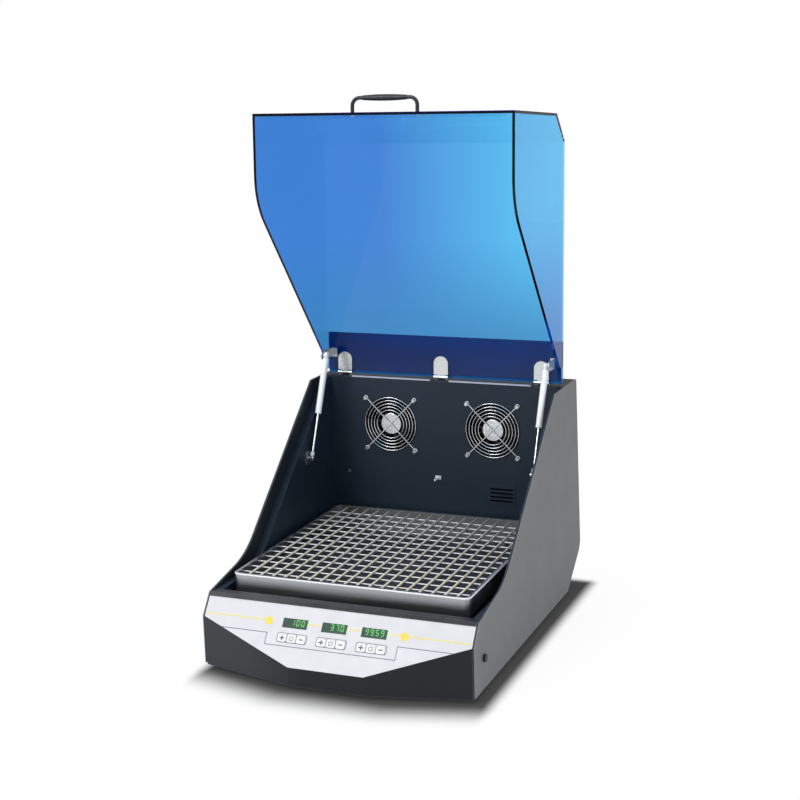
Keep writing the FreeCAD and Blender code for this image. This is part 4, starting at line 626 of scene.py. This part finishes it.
def grained(name, base, grain, stretch=(1.0, 1.0, 1.0), metallic=0.0, edge=None,
            edge_width=0.001, edge_amount=0.5, band=None, **sockets):
    """A finish with grain. It has a painted highlight on its edges where an edge colour is given,
    and another colour between two side-to-side places where a band (low, high, softness, colour) is
    given."""
    material, tree, shader, place = blank_material(name, metallic, **sockets)
    pull = add(tree, "Mapping", Scale=stretch, Vector=place["Object"])
    tint = give_grain(tree, shader, pull.outputs["Vector"], base, *grain)
    if band is not None:
        low, high, soft, other = band
        across = add(tree, "SeparateXYZ", Vector=place["Object"]).outputs["X"]
        mask = combine(tree, "MULTIPLY", spread(tree, across, 0.0, 1.0, low - soft, low),
                       spread(tree, across, 1.0, 0.0, high, high + soft))
        tint = tinted(tree, "MIX", mask, tint, rgba(other))
    if edge is not None:
        tint = add(tree, "Group", node_tree=painted_edge_highlight(), Vector=place["Object"], Color=tint,
                   Edge_Color=rgba(edge), Width=edge_width, Amount=edge_amount).outputs["Color"]
    fill(tree, shader, Base_Color=tint)
    return material


def finish(name, base=None, **more):
    """A finish of the table, made once. A base colour given here goes before the table's."""
    if name in bpy.data.materials:
        return bpy.data.materials[name]
    own, *grain, rest = FINISHES[name]
    return grained(name, own if base is None else base, grain, **rest, **more)


def coiled(name, base, pitch):
    """Coated spring wire: a wave along Y gives the turns of the coil, with painted shade in the
    grooves between them.
    """
    material, tree, shader, place = blank_material(name, Specular_IOR_Level=0.5)
    tint = give_grain(tree, shader, place["Object"], base, 0.16, 40.0, 1500.0, 0.00001,
                      (0.3, 0.45), skin=False)
    wave = add(tree, "TexWave", wave_type="BANDS", bands_direction="Y", Vector=place["Object"],
               Scale=2.0 * math.pi / (20.0 * pitch)).outputs["Fac"]
    # Painted shade in the grooves between the turns.
    groove_shade = grey(tree, spread(tree, wave, 0.75, 1.0, 0.0, 0.6))
    bump = add(tree, "Bump", Strength=0.8, Distance=0.0003, Height=wave)
    fill(tree, shader, Base_Color=tinted(tree, "MULTIPLY", 1.0, tint, groove_shade),
         Normal=bump.outputs["Normal"])
    return material


def clear_sheet(name, settings):
    """Clear tinted sheet. Painted light and shade turn the tint from a darker left to a lighter
    right, and darker towards the hinge, along straight ramps. A painted sheen makes it paler high
    on the right side wall and darker low down. It is dark on the cut edges: faces that look to the
    front in the hood's own place and lie in front of its roof and its bevel. The inside takes out a
    little more red."""
    material, tree, shader, place = blank_material(
        name, IOR=1.33, Transmission_Weight=1.0, Specular_IOR_Level=0.22)
    where = add(tree, "SeparateXYZ", Vector=place["Object"]).outputs
    facing = add(tree, "SeparateXYZ", Vector=place["Normal"]).outputs
    # Painted light and shade: darker at the left and near the hinge, paler high on the right wall.
    blue = tinted(tree, "MIX", spread(tree, where["X"], 0.0, 1.0, *LIGHT_ACROSS),
                  rgba(settings.left_shaded_tint), rgba(settings.right_lit_tint))
    blue = tinted(tree, "MIX", spread(tree, where["Z"], LOW_SHADE_SHARE, 0.0, *SHADE_LOW), blue,
                  rgba(settings.low_shaded_tint))
    wall = tinted(tree, "MIX", spread(tree, where["Z"], 0.0, 1.0, *LIGHT_WALL),
                  rgba(settings.foot_shaded_tint), rgba(settings.wall_lit_tint))
    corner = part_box("hood_shell")[1]
    inner = corner.x - HOOD_SHEET
    at_wall = spread(tree, where["X"], 0.0, 1.0, inner - 0.0015, inner - 0.0005)
    blue = tinted(tree, "MIX", at_wall, blue, wall)
    points = node_points("hood_shell")
    roof = float(leaned(points[:, 1], points[:, 2])[0].max())
    lean = math.radians(HOOD_LEAN)
    level = combine(tree, "SUBTRACT", combine(tree, "MULTIPLY", where["Y"], math.cos(lean)),
                    combine(tree, "MULTIPLY", where["Z"], math.sin(lean)))
    clear_of_roof, clear_of_bevel, below_bevel = (
        spread(tree, source, 1.0, 0.0, end - EDGE_SOFT, end)
        for source, end in ((level, roof - SHORT_OF_ROOF), (level, roof - SHORT_OF_BEVEL),
                            (where["Z"], corner.z - BELOW_BEVEL)))
    forward = spread(tree, facing["Y"], 1.0, 0.0, -0.4, -0.3)
    edge = combine(tree, "MULTIPLY", combine(tree, "MULTIPLY", forward, clear_of_roof),
                   combine(tree, "MAXIMUM", clear_of_bevel, below_bevel))
    effect = add(tree, "Group", node_tree=surface_grain(), Vector=place["Object"], Color=blue,
                 Shade=0.04, Mottle_Scale=3.0, Grain_Scale=26.0, Grain_Depth=0.00002,
                 Rough_Low=0.0, Rough_High=0.03).outputs
    fill(tree, shader,
         Base_Color=tinted(tree, "MIX", edge, effect["Color"], rgba(settings.edge_tint)),
         Roughness=effect["Roughness"], Normal=effect["Normal"])
    inside = add(tree, "VolumeAbsorption", Color=(0.05, 0.8, 1.0, 1.0), Density=settings.depth)
    fill(tree, tree.nodes["Material Output"], Volume=inside.outputs["Volume"])
    return material


def lit_segments(name, base, strength):
    """Glowing segments, a little brighter in their middle."""
    material, tree, shader, place = blank_material(name, Emission_Strength=strength)
    tint = give_grain(tree, shader, place["Object"], base, 0.35, 160.0, 2000.0, 0.00001,
                      (0.3, 0.4), skin=False)
    fill(tree, shader, Base_Color=tint, Emission_Color=tint)
    return material


def display_glass(name, pitch):
    """Dark green window with a painted glow of the lit digits, brightening it softly towards its
    right, under the digits. The place within a window comes from a saw of the side-to-side
    position."""
    material, tree, shader, place = blank_material(name, Emission_Strength=0.1,
                                                   Specular_IOR_Level=0.15)
    across = add(tree, "SeparateXYZ", Vector=place["Object"]).outputs["X"]
    steps = combine(tree, "ADD", combine(tree, "DIVIDE", across, pitch), 10.5)
    side = spread(tree, combine(tree, "FRACT", steps), 0.0, 1.0, 0.22, 0.72)
    tint = give_grain(tree, shader, place["Object"], GLASS_DARK, 0.25, 60.0, 1200.0, 0.000004,
                      (0.2, 0.3))
    # Painted glow of the lit digits, in the window's colour and its emission.
    tint = tinted(tree, "MIX", side, tint, rgba(PAINTED_DIGIT_GLOW))
    fill(tree, shader, Base_Color=tint, Emission_Color=tint)
    return material


def circuit_board(name):
    """Green board with lighter tracks, from the edges between the cells of a square pattern."""
    material, tree, shader, place = blank_material(name, Coat_Weight=0.3)
    cells = add(tree, "TexVoronoi", feature="DISTANCE_TO_EDGE", Scale=160.0,
                Vector=place["Object"])
    track = spread(tree, cells.outputs["Distance"], 1.0, 0.0, 0.04, 0.09)
    tint = give_grain(tree, shader, place["Object"], (0.012, 0.12, 0.04), 0.3, 60.0, 1500.0,
                      0.00002, (0.3, 0.5))
    fill(tree, shader, Base_Color=tinted(tree, "MIX", track, tint, (0.05, 0.3, 0.1, 1.0)))
    return material


def paint(material, *names):
    """Gives CAD nodes a finish."""
    for name in names:
        mesh = NODES[name].data
        mesh.materials.clear()
        mesh.materials.append(material)


# Pieces


class INCUBATOR_OT_cabinet(Operator):
    """Powder coat on the cabinet, its front cover and the chamber"""

    bl_idname = "incubator.cabinet"
    bl_label = "Finish the cabinet"

    def execute(self, context):
        settings = context.scene.incubator.cabinet
        width = settings.edge_width
        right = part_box("right_side_cheek")[1].x
        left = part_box("left_side_cheek")[0].x
        # The band paints shade on the side sheets' inner faces.
        wall = settings.sheet + INNER_SHADE_PAST
        paint(finish("Side Coat", settings.side_colour, edge_width=width,
                     band=(left + wall, right - wall, INNER_SHADE_SOFT, settings.inner_shade_colour)),
              "left_side_cheek", "right_side_cheek", "rear_cover", "base_pan")
        # The front cover's coat, with painted shade on its middle and right.
        paint(finish("Front Coat", settings.front_colour, edge_width=width,
                     band=(SHADE_START, 1.0, SHADE_SOFT, settings.shade_colour)), "front_cover")
        paint(finish("Chamber Coat", settings.liner_colour, edge_width=width),
              "left_inner_wall", "right_inner_wall", "back_wall", "chamber_floor")
        paint(finish("Black Rubber"), "rubber_feet")
        paint(finish("Black Moulding"), "side_button", "mains_inlet")
        paint(finish("Brushed Steel"), "cabinet_screws", "heater_element", "power_supply")
        paint(finish("Probe White"), "temperature_probe")
        return {"FINISHED"}


class INCUBATOR_OT_panel_print(Operator):
    """Printed film with its line, discs and grey outlines"""

    bl_idname = "incubator.panel_print"
    bl_label = "Print the panel"

    def execute(self, context):
        settings = context.scene.incubator.panel
        paint(finish("Printed Film", settings.film_colour), "label_panel")
        face = panel_reach("label_panel")
        low, high = face - settings.print_height, face + settings.print_height
        v = settings.line_height
        line = [ribbon([(start, v), (end, v)], settings.line_width, low, high)
                for start, end in LINE_RUNS]
        discs = [plate(circle(settings.disc_radius) + np.array([x, v - DISC_DROP]), low,
                       high + settings.print_height) for x in DISC_PLACES]
        outline = [ribbon(OUTLINE_STEPS, settings.outline_width, low, high)]
        frames = []
        for station in STATIONS:
            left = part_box("%s_plus_key" % station)[0].x
            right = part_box("%s_minus_key" % station)[1].x
            up = panel_place("%s_plus_key" % station)[1]
            around = rounded(right - left + FRAME_PAST, FRAME_HEIGHT, FRAME_CORNER)
            frames.append(ribbon(around + np.array([(left + right) / 2, up + FRAME_LIFT]),
                                 settings.outline_width * FRAME_LINE, low, high, loop=True))
        yellow = finish("Yellow Print", settings.line_colour)
        amber = finish("Disc Print", settings.disc_colour)
        dark = finish("Grey Print", settings.outline_colour)
        for name, surfaces, ink in (("panel_line", line, yellow), ("panel_discs", discs, amber),
                                    ("panel_outline", outline, dark),
                                    ("key_outlines", frames, dark)):
            make_piece(name, surfaces, ink, "cabinet")
        top = panel_reach("label_panel", PANEL_UP)
        side = panel_reach("label_panel", PANEL_RIGHT)
        lip = [(-side, top - settings.lip_depth), (side, top - settings.lip_depth),
               (side, top + LIP_OVERHANG), (-side, top + LIP_OVERHANG)]
        make_piece("panel_lip", [plate(lip, low, face + settings.lip_height)],
                   finish("Front Coat"), "cabinet")
        return {"FINISHED"}


class INCUBATOR_OT_displays(Operator):
    """Dark windows with their lit digits"""

    bl_idname = "incubator.displays"
    bl_label = "Light the displays"

    def execute(self, context):
        settings = context.scene.incubator.panel
        pitch = settings.station_pitch
        paint(display_glass("Display Glass", pitch), "display_windows")
        face = panel_reach("label_panel")
        low, high = face - settings.print_height, face + settings.print_height
        surfaces = []
        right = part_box("display_windows")[1].x - 2 * pitch - DIGIT_MARGIN
        for station, shown in enumerate(SHOWN):
            place = len(shown.replace(".", ""))
            for letter in shown:
                x = right + station * pitch - place * settings.digit_pitch
                if letter == ".":
                    dot = circle(POINT_RADIUS, 12) + np.array([x - POINT_SHIFT, POINT_FOOT])
                    surfaces.append(plate(dot, low, high))
                    continue
                surfaces.extend(digit(letter, x + DIGIT_SHIFT, settings, low, high))
                place -= 1
        make_piece("display_digits", surfaces,
                   lit_segments("Lit Segments", settings.digit_colour, 0.5),
                   "cabinet")
        return {"FINISHED"}


class INCUBATOR_OT_keys(Operator):
    """White keys with plus, set and minus marks that move with them"""

    bl_idname = "incubator.keys"
    bl_label = "Mark the keys"

    def execute(self, context):
        arm, half, short = MARK_ARM, MARK_HALF, MARK_ARM * MINUS_SHARE
        plus = np.array([(half, -arm), (half, -half), (arm, -half), (arm, half), (half, half),
                         (half, arm), (-half, arm), (-half, half), (-arm, half), (-arm, -half),
                         (-half, -half), (-half, -arm)])
        minus = np.array([(-short, -half), (short, -half), (short, half), (-short, half)])
        square = rounded(SQUARE_SIDE, SQUARE_SIDE, SQUARE_CORNER)
        for station in STATIONS:
            for key in KEYS:
                name = "%s_%s_key" % (station, key)
                paint(finish("Key White"), name)
                shift, top = panel_place(name), panel_reach(name)
                low, high = top - INK_DEPTH, top + INK_DEPTH
                if key == "set":
                    mark = ribbon(square + shift, SQUARE_LINE, low, high, loop=True)
                else:
                    mark = plate((plus if key == "plus" else minus) + shift, low, high)
                make_piece("%s_%s_mark" % (station, key), [mark], finish("Key Ink"),
                           "key_%s_%s" % (station, key))
        paint(circuit_board("Circuit Board"), "control_board")
        return {"FINISHED"}


class INCUBATOR_OT_fans(Operator):
    """Fans with round-wire guards and bright hub discs"""

    bl_idname = "incubator.fans"
    bl_label = "Finish the fans"

    def execute(self, context):
        settings = context.scene.incubator.fans
        paint(finish("Black Moulding"), "fan_frames", "left_fan_rotor", "right_fan_rotor")
        wire, half = settings.wire_radius, settings.hole_half
        radius, across = settings.badge_radius, (0.0, 1.0, 0.0)
        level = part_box("fan_guards")[1].y - SPOKE_SETBACK
        reach = half - settings.ear_radius * math.sqrt(0.5)
        t = np.linspace(-reach, reach, 21)
        ear = circle(settings.ear_radius, 24)
        rings, spokes = [], []
        for side in ("left", "right"):
            near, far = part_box("%s_fan_rotor" % side)
            centre = ((near.x + far.x) / 2, level, (near.z + far.z) / 2)
            for j in range(settings.ring_count):
                flat = circle(settings.outer_ring - j * settings.ring_step, 56)
                ring = placed(centre, flat[:, 0], -RING_LEAD * wire, flat[:, 1])
                rings.append(tube(ring, wire, 8, across, loop=True))
            for j in (1, -1):
                spokes.append(tube(placed(centre, t, 0.0, t * j), wire, 8, across))
            for i in (-1, 1):
                for j in (-1, 1):
                    loop = placed(centre, half * i + ear[:, 0], 0.0, half * j + ear[:, 1])
                    spokes.append(tube(loop, wire, 8, across, loop=True))
            badge = [(0.0, DISC_BACK), (radius, DISC_BACK), (radius, DISC_RIM),
                     (radius - DISC_BEVEL, DISC_FACE), (0.0, DISC_FACE)]
            make_piece("%s_hub_disc" % side,
                       [turned(badge, (centre[0], near.y, centre[2]), (0.0, -1.0, 0.0))],
                       finish("Hub Foil"), "fan_%s" % side)
        make_piece("guard_wires", rings, finish("Bright Wire"), "cabinet",
                   smooth=True, stands_for=("fan_guards",))
        make_piece("guard_spokes", spokes, finish("Bright Spoke"), "cabinet",
                   smooth=True)
        make_piece("fan_filters", filter_mats(settings), finish("Filter Foam"),
                   "cabinet")
        return {"FINISHED"}


class INCUBATOR_OT_tray(Operator):
    """Steel tray with its spring wires and cross wires"""

    bl_idname = "incubator.tray"
    bl_label = "Finish the tray"

    def execute(self, context):
        settings = context.scene.incubator.tray
        paint(finish("Satin Steel", settings.steel_colour), "shaker_tray")
        paint(finish("Cross Wire"), "cross_wires")
        paint(finish("Brushed Steel"), "tray_screws")
        low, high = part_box("shaker_tray")
        size, middle = high - low, (low.y + high.y) / 2
        rim = rounded(size.x - TRAY_WALL, size.y - TRAY_WALL, BEAD_CORNER, 8)
        path = placed((0.0, middle, high.z - settings.bead_radius), rim[:, 0], rim[:, 1], 0.0)
        make_piece("tray_bead", [tube(path, settings.bead_radius, loop=True)],
                   finish("Bright Bead"), "platform", smooth=True)
        inside = 2 * (TRAY_WALL + settings.lining_gap)
        outline = rounded(size.x - inside, size.y - inside, LINING_CORNER)
        level = np.array(LINING_LEVELS)[:, None]
        lining = placed((0.0, middle, low.z + TRAY_WALL), outline[None, :, 0],
                        outline[None, :, 1], level)
        make_piece("tray_lining", [grid_surface(lining)],
                   finish("Tray Lining", settings.lining_colour), "platform")
        low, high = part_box("spring_wires")
        coil, tail, span = settings.coil_radius, settings.tail_radius, high.y - low.y
        along = np.array([0.0, TIP, TAIL, TAIL + CONE, 0.25 * span, 0.5 * span])
        along = np.concatenate([along, span - along[-2::-1]])
        radius = np.array([TIP_SHARE * tail, tail, tail, coil, coil, coil])
        radius = np.concatenate([radius, radius[-2::-1]])
        surfaces = [tube(placed((x, low.y, (low.z + high.z) / 2), 0.0, along, 0.0), radius)
                    for x in np.linspace(low.x + coil, high.x - coil, settings.wire_count)]
        wires = make_piece("tray_springs", surfaces,
                           coiled("Coated Spring", settings.wire_colour, settings.coil_pitch),
                           "platform", smooth=True, stands_for=("spring_wires",))
        wires.data.set_sharp_from_angle(angle=math.radians(60.0))
        return {"FINISHED"}


class INCUBATOR_OT_hood(Operator):
    """Clear blue hood with its rail, handle and hinges"""

    bl_idname = "incubator.hood"
    bl_label = "Finish the hood"

    def execute(self, context):
        settings = context.scene.incubator.hood
        paint(clear_sheet("Blue Acrylic", settings), "hood_shell")
        points = node_points("hinge_rail")
        out, up = leaned(points[:, 1], points[:, 2])
        y, z = leaned(np.array([out.min(), out.max(), out.max(), out.min()]),
                      np.array([up.min(), up.min(), up.max(), up.max()]),
                      -math.radians(HOOD_LEAN))
        half = np.array([-settings.rail_half, settings.rail_half])[:, None]
        make_piece("wide_rail", [grid_surface(placed((0.0, 0.0, 0.0), half, y[None], z[None]))],
                   finish("Rail Coat", settings.rail_colour), "hood",
                   stands_for=("hinge_rail",))
        # A pale strip painted as the highlight along the roof's front edge.
        corner = (0.0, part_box("back_wall")[0].y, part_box("rear_cover")[1].z)
        strips = [grid_surface(placed(corner, np.array(ends)[:, None], [HIGHLIGHT_Y], [HIGHLIGHT_Z]))
                  for ends in HIGHLIGHT_RUNS]
        make_piece("roof_seal", strips, finish("Pale Seal"), "cabinet")
        paint(finish("Black Moulding"), "hood_handle")
        paint(finish("Brushed Steel"), "handle_screws", "upper_spring_brackets")
        paint(finish("Hinge Plate"), "hood_hinge_leaves", "fixed_hinge_leaves")
        return {"FINISHED"}


class INCUBATOR_OT_springs(Operator):
    """Gas springs that hold the hood up"""

    bl_idname = "incubator.springs"
    bl_label = "Finish the gas springs"

    def execute(self, context):
        paint(finish("Spring Coat"), "left_spring_barrel", "right_spring_barrel")
        paint(finish("Bright Wire"), "left_spring_rod", "right_spring_rod")
        paint(finish("Brushed Steel"), "lower_spring_brackets")
        for side, sign in (("left", -1), ("right", 1)):
            foot = np.array(SPRING_FOOT) * (sign, 1, 1)
            for part, place, radius, low, high in FITTINGS:
                narrow = radius - FITTING_BEVEL
                profile = [(0.0, low), (narrow, low), (radius, low + FITTING_BEVEL),
                           (radius, high - FITTING_BEVEL), (narrow, high), (0.0, high)]
                make_piece("%s_%s_fitting" % (side, part),
                           [turned(profile, foot + place * np.array(SPRING_AXIS), SPRING_AXIS, 24)],
                           finish("Pale Fitting"), "%s_%s" % (side, part))
        return {"FINISHED"}


class INCUBATOR_OT_drive(Operator):
    """Motor, belt, spindle and cranks under the chamber floor"""

    bl_idname = "incubator.drive"
    bl_label = "Finish the drive"

    def execute(self, context):
        paint(finish("Machined Aluminium"), "motor_pulley", "spindle_housing", "crank_blocks",
              "platform_plate")
        paint(finish("Brushed Steel"), "drive_motor", "spindle_bearings", "drive_spindle",
              "left_crank", "right_crank", "front_crank", "platform_bearings")
        paint(finish("Black Rubber"), "drive_belt")
        return {"FINISHED"}


class INCUBATOR_OT_studio(Operator):
    """Pale floor, white surroundings, three soft lamps and the camera"""

    bl_idname = "incubator.studio"
    bl_label = "Set up the studio"

    def execute(self, context):
        scene = context.scene
        settings = scene.incubator.studio
        half = settings.floor_size / 2
        mesh = bpy.data.meshes.new("studio_floor")
        mesh.from_pydata([(-half, -half, 0.0), (half, -half, 0.0), (half, half, 0.0),
                          (-half, half, 0.0)], [], [(0, 1, 2, 3)])
        mesh.materials.append(floor_material(settings))
        floor = bpy.data.objects.new("studio_floor", mesh)
        scene.collection.objects.link(floor)
        scene.world = world_light(settings.sky)
        for name, place, size in LAMPS:
            soft_lamp(name + "_lamp", place, size, getattr(settings, name))
        data = bpy.data.cameras.new("studio_camera")
        data.lens = settings.focal_length
        data.sensor_width = 36.0
        data.clip_end = 100.0
        camera = bpy.data.objects.new("studio_camera", data)
        camera.matrix_world = camera_place(Vector(CAMERA_PLACE), CAMERA_YAW, CAMERA_PITCH,
                                           CAMERA_ROLL)
        scene.collection.objects.link(camera)
        scene.camera = camera
        scene.view_settings.view_transform = "Standard"
        return {"FINISHED"}


def filter_mats(settings):
    """Two foam mats just inside the leaning rear wall, one behind each fan: a rounded square
    carried straight through the mat's thickness, and moved back as it goes down."""
    surfaces = []
    for side in ("left", "right"):
        near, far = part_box("%s_fan_rotor" % side)
        outline = rounded(settings.filter_size, settings.filter_size, FILTER_CORNER)
        x = (near.x + far.x) / 2 + outline[:, 0]
        z = (near.z + far.z) / 2 + outline[:, 1]
        back = REAR_TOP_Y - (z - REAR_TOP_Z) * REAR_LEAN - settings.filter_gap
        level = np.array([0.0, settings.filter_depth])[:, None]
        surfaces.append(grid_surface(placed((0.0, 0.0, 0.0), x[None], back[None] - level, z[None])))
    return surfaces


def digit(letter, x, settings, low, high):
    """Seven-segment digit: each lit segment is a bar with pointed ends. Its outline is a bar
    outline laid along the segment's line."""
    height = settings.digit_height
    width, thick = DIGIT_WIDTH * height, DIGIT_LINE * height
    across, reach = width - thick, (height - thick) / 2
    plates = []
    for name in SEGMENTS[letter]:
        start, end = (np.array([x + thick / 2 + i * across, DIGIT_FOOT + thick / 2 + j * reach])
                      for i, j in SEGMENT_ENDS[name])
        along = (end - start) / np.linalg.norm(end - start)
        left = np.array([-along[1], along[0]]) * thick / 2
        gap = along * thick * DIGIT_GAP
        start, end = start + gap, end - gap
        tip = along * thick / 2
        outline = [start, start + tip - left, end - tip - left, end, end - tip + left,
                   start + tip + left]
        plates.append(plate(outline, low, high))
    return plates


# Studio


def seen_directly(tree):
    """1 for camera and transmission rays, 0 for others."""
    path = add(tree, "LightPath").outputs
    return combine(tree, "MAXIMUM", path["Is Camera Ray"], path["Is Transmission Ray"])


def mix_shaders(tree, output, share, first, second):
    """Puts a mix of two shaders on the output's surface."""
    mix = add(tree, "MixShader")
    for socket, value in zip(mix.inputs, (share, first.outputs[0], second.outputs[0])):
        feed(tree, socket, value)
    fill(tree, tree.nodes[output], Surface=mix.outputs[0])


def world_light(strength):
    """Even pale light that shows as plain white where it is seen directly."""
    world = bpy.data.worlds.new("studio_world")
    world.use_nodes = True
    tree = world.node_tree
    even = tree.nodes["Background"]
    fill(tree, even, Color=(0.96, 0.98, 1.0, 1.0), Strength=strength)
    white = add(tree, "Background", Color=(1.0, 1.0, 1.0, 1.0), Strength=1.0)
    mix_shaders(tree, "World Output", seen_directly(tree), even, white)
    return world


def floor_material(settings):
    """White floor that takes the shadow near the machine and fades to plain white. Right against
    the machine a painted shadow makes it darker: by the distance d from the footprint, where d*d is
    the sum of the squares of the distances across and along. The footprint's front edge runs
    straight in the middle and falls back towards both sides."""
    material, tree, shader, place = blank_material(
        "Studio Floor", Roughness=0.9, Specular_IOR_Level=0.1, Base_Color=(0.9, 0.9, 0.91, 1.0))
    where = add(tree, "SeparateXYZ", Vector=place["Object"]).outputs
    front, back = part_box("front_cover")[0].y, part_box("rear_cover")[1].y
    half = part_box("right_side_cheek")[1].x
    off_middle = combine(tree, "ABSOLUTE",
                         combine(tree, "SUBTRACT", where["X"], settings.shadow_shift))
    across = combine(tree, "MAXIMUM", combine(tree, "SUBTRACT", off_middle, half), 0.0)
    across = combine(tree, "MULTIPLY", across, settings.side_narrowing)
    edge = spread(tree, off_middle, front, PANEL_ORIGIN[1], FACET_START, half)
    ahead = combine(tree, "SUBTRACT", edge, where["Y"])
    behind = combine(tree, "MULTIPLY", combine(tree, "SUBTRACT", where["Y"], back),
                     settings.side_narrowing)
    along = combine(tree, "MAXIMUM", combine(tree, "MAXIMUM", ahead, behind), 0.0)
    squares = combine(tree, "ADD", combine(tree, "POWER", across, 2.0),
                      combine(tree, "POWER", along, 2.0))
    contact = add(tree, "MapRange", interpolation_type="SMOOTHERSTEP",
                  Value=combine(tree, "SQRT", squares), From_Min=SHADOW_START,
                  From_Max=settings.shadow_reach)
    camera = add(tree, "LightPath").outputs["Is Camera Ray"]
    contact = spread(tree, camera, 1.0, contact.outputs["Result"], 0.0, 1.0)
    glow = add(tree, "Emission", Strength=1.0, Color=grey(tree, contact))
    far = add(tree, "VectorMath", operation="LENGTH", Vector=place["Object"])
    fade = spread(tree, far.outputs["Value"], *WHITE_SHARE, *WHITE_RANGE)
    mix_shaders(tree, "Material Output", combine(tree, "MULTIPLY", fade, seen_directly(tree)),
                shader, glow)
    return material


def soft_lamp(name, place, size, power):
    """A square lamp that faces the middle of the machine."""
    data = bpy.data.lights.new(name, "AREA")
    data.shape = "SQUARE"
    data.size = size
    data.energy = power
    lamp = bpy.data.objects.new(name, data)
    lamp.location = place
    aim = Vector(LAMP_AIM) - Vector(place)
    lamp.rotation_euler = aim.to_track_quat("-Z", "Y").to_euler()
    bpy.context.scene.collection.objects.link(lamp)


def camera_place(place, yaw, pitch, roll):
    """The camera's matrix from its place and three turns."""
    ahead = Vector((-math.sin(yaw) * math.cos(pitch), math.cos(yaw) * math.cos(pitch),
                    -math.sin(pitch)))
    level = Vector((math.cos(yaw), math.sin(yaw), 0.0))
    upright = level.cross(ahead)
    right = math.cos(roll) * level + math.sin(roll) * upright
    up = -math.sin(roll) * level + math.cos(roll) * upright
    turn = Matrix((right, up, -ahead)).transposed().to_4x4()
    return Matrix.Translation(place) @ turn


class INCUBATOR_PT_panel(Panel):
    bl_label = "Shaking Incubator"
    bl_idname = "INCUBATOR_PT_panel"
    bl_space_type = "VIEW_3D"
    bl_region_type = "UI"
    bl_category = "Incubator"

    def draw(self, context):
        settings = context.scene.incubator
        for part, operators in SECTIONS:
            box = self.layout.box()
            if part:
                group = getattr(settings, part)
                for name in group.__annotations__:
                    box.prop(group, name)
            for operator in operators:
                box.operator(operator)


SECTIONS = (
    ("cabinet", ("incubator.cabinet",)),
    ("panel", ("incubator.panel_print", "incubator.displays", "incubator.keys")),
    ("fans", ("incubator.fans",)),
    ("tray", ("incubator.tray",)),
    ("hood", ("incubator.hood", "incubator.springs")),
    ("", ("incubator.drive",)),
    ("studio", ("incubator.studio",)),
)

CLASSES = (
    CabinetSettings, PanelSettings, FanSettings, TraySettings, HoodSettings, StudioSettings,
    IncubatorSettings, INCUBATOR_OT_cabinet, INCUBATOR_OT_panel_print, INCUBATOR_OT_displays,
    INCUBATOR_OT_keys, INCUBATOR_OT_fans, INCUBATOR_OT_tray, INCUBATOR_OT_hood,
    INCUBATOR_OT_springs, INCUBATOR_OT_drive, INCUBATOR_OT_studio, INCUBATOR_PT_panel,
)


def register():
    for item in CLASSES:
        bpy.utils.register_class(item)
    bpy.types.Scene.incubator = PointerProperty(type=IncubatorSettings)


def unregister():
    del bpy.types.Scene.incubator
    for item in reversed(CLASSES):
        bpy.utils.unregister_class(item)


def main():
    """Builds every piece in order."""
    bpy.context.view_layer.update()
    register()
    bpy.ops.incubator.cabinet()
    bpy.ops.incubator.panel_print()
    bpy.ops.incubator.displays()
    bpy.ops.incubator.keys()
    bpy.ops.incubator.fans()
    bpy.ops.incubator.tray()
    bpy.ops.incubator.hood()
    bpy.ops.incubator.springs()
    bpy.ops.incubator.drive()
    bpy.ops.incubator.studio()


if __name__ == "__main__":
    main()
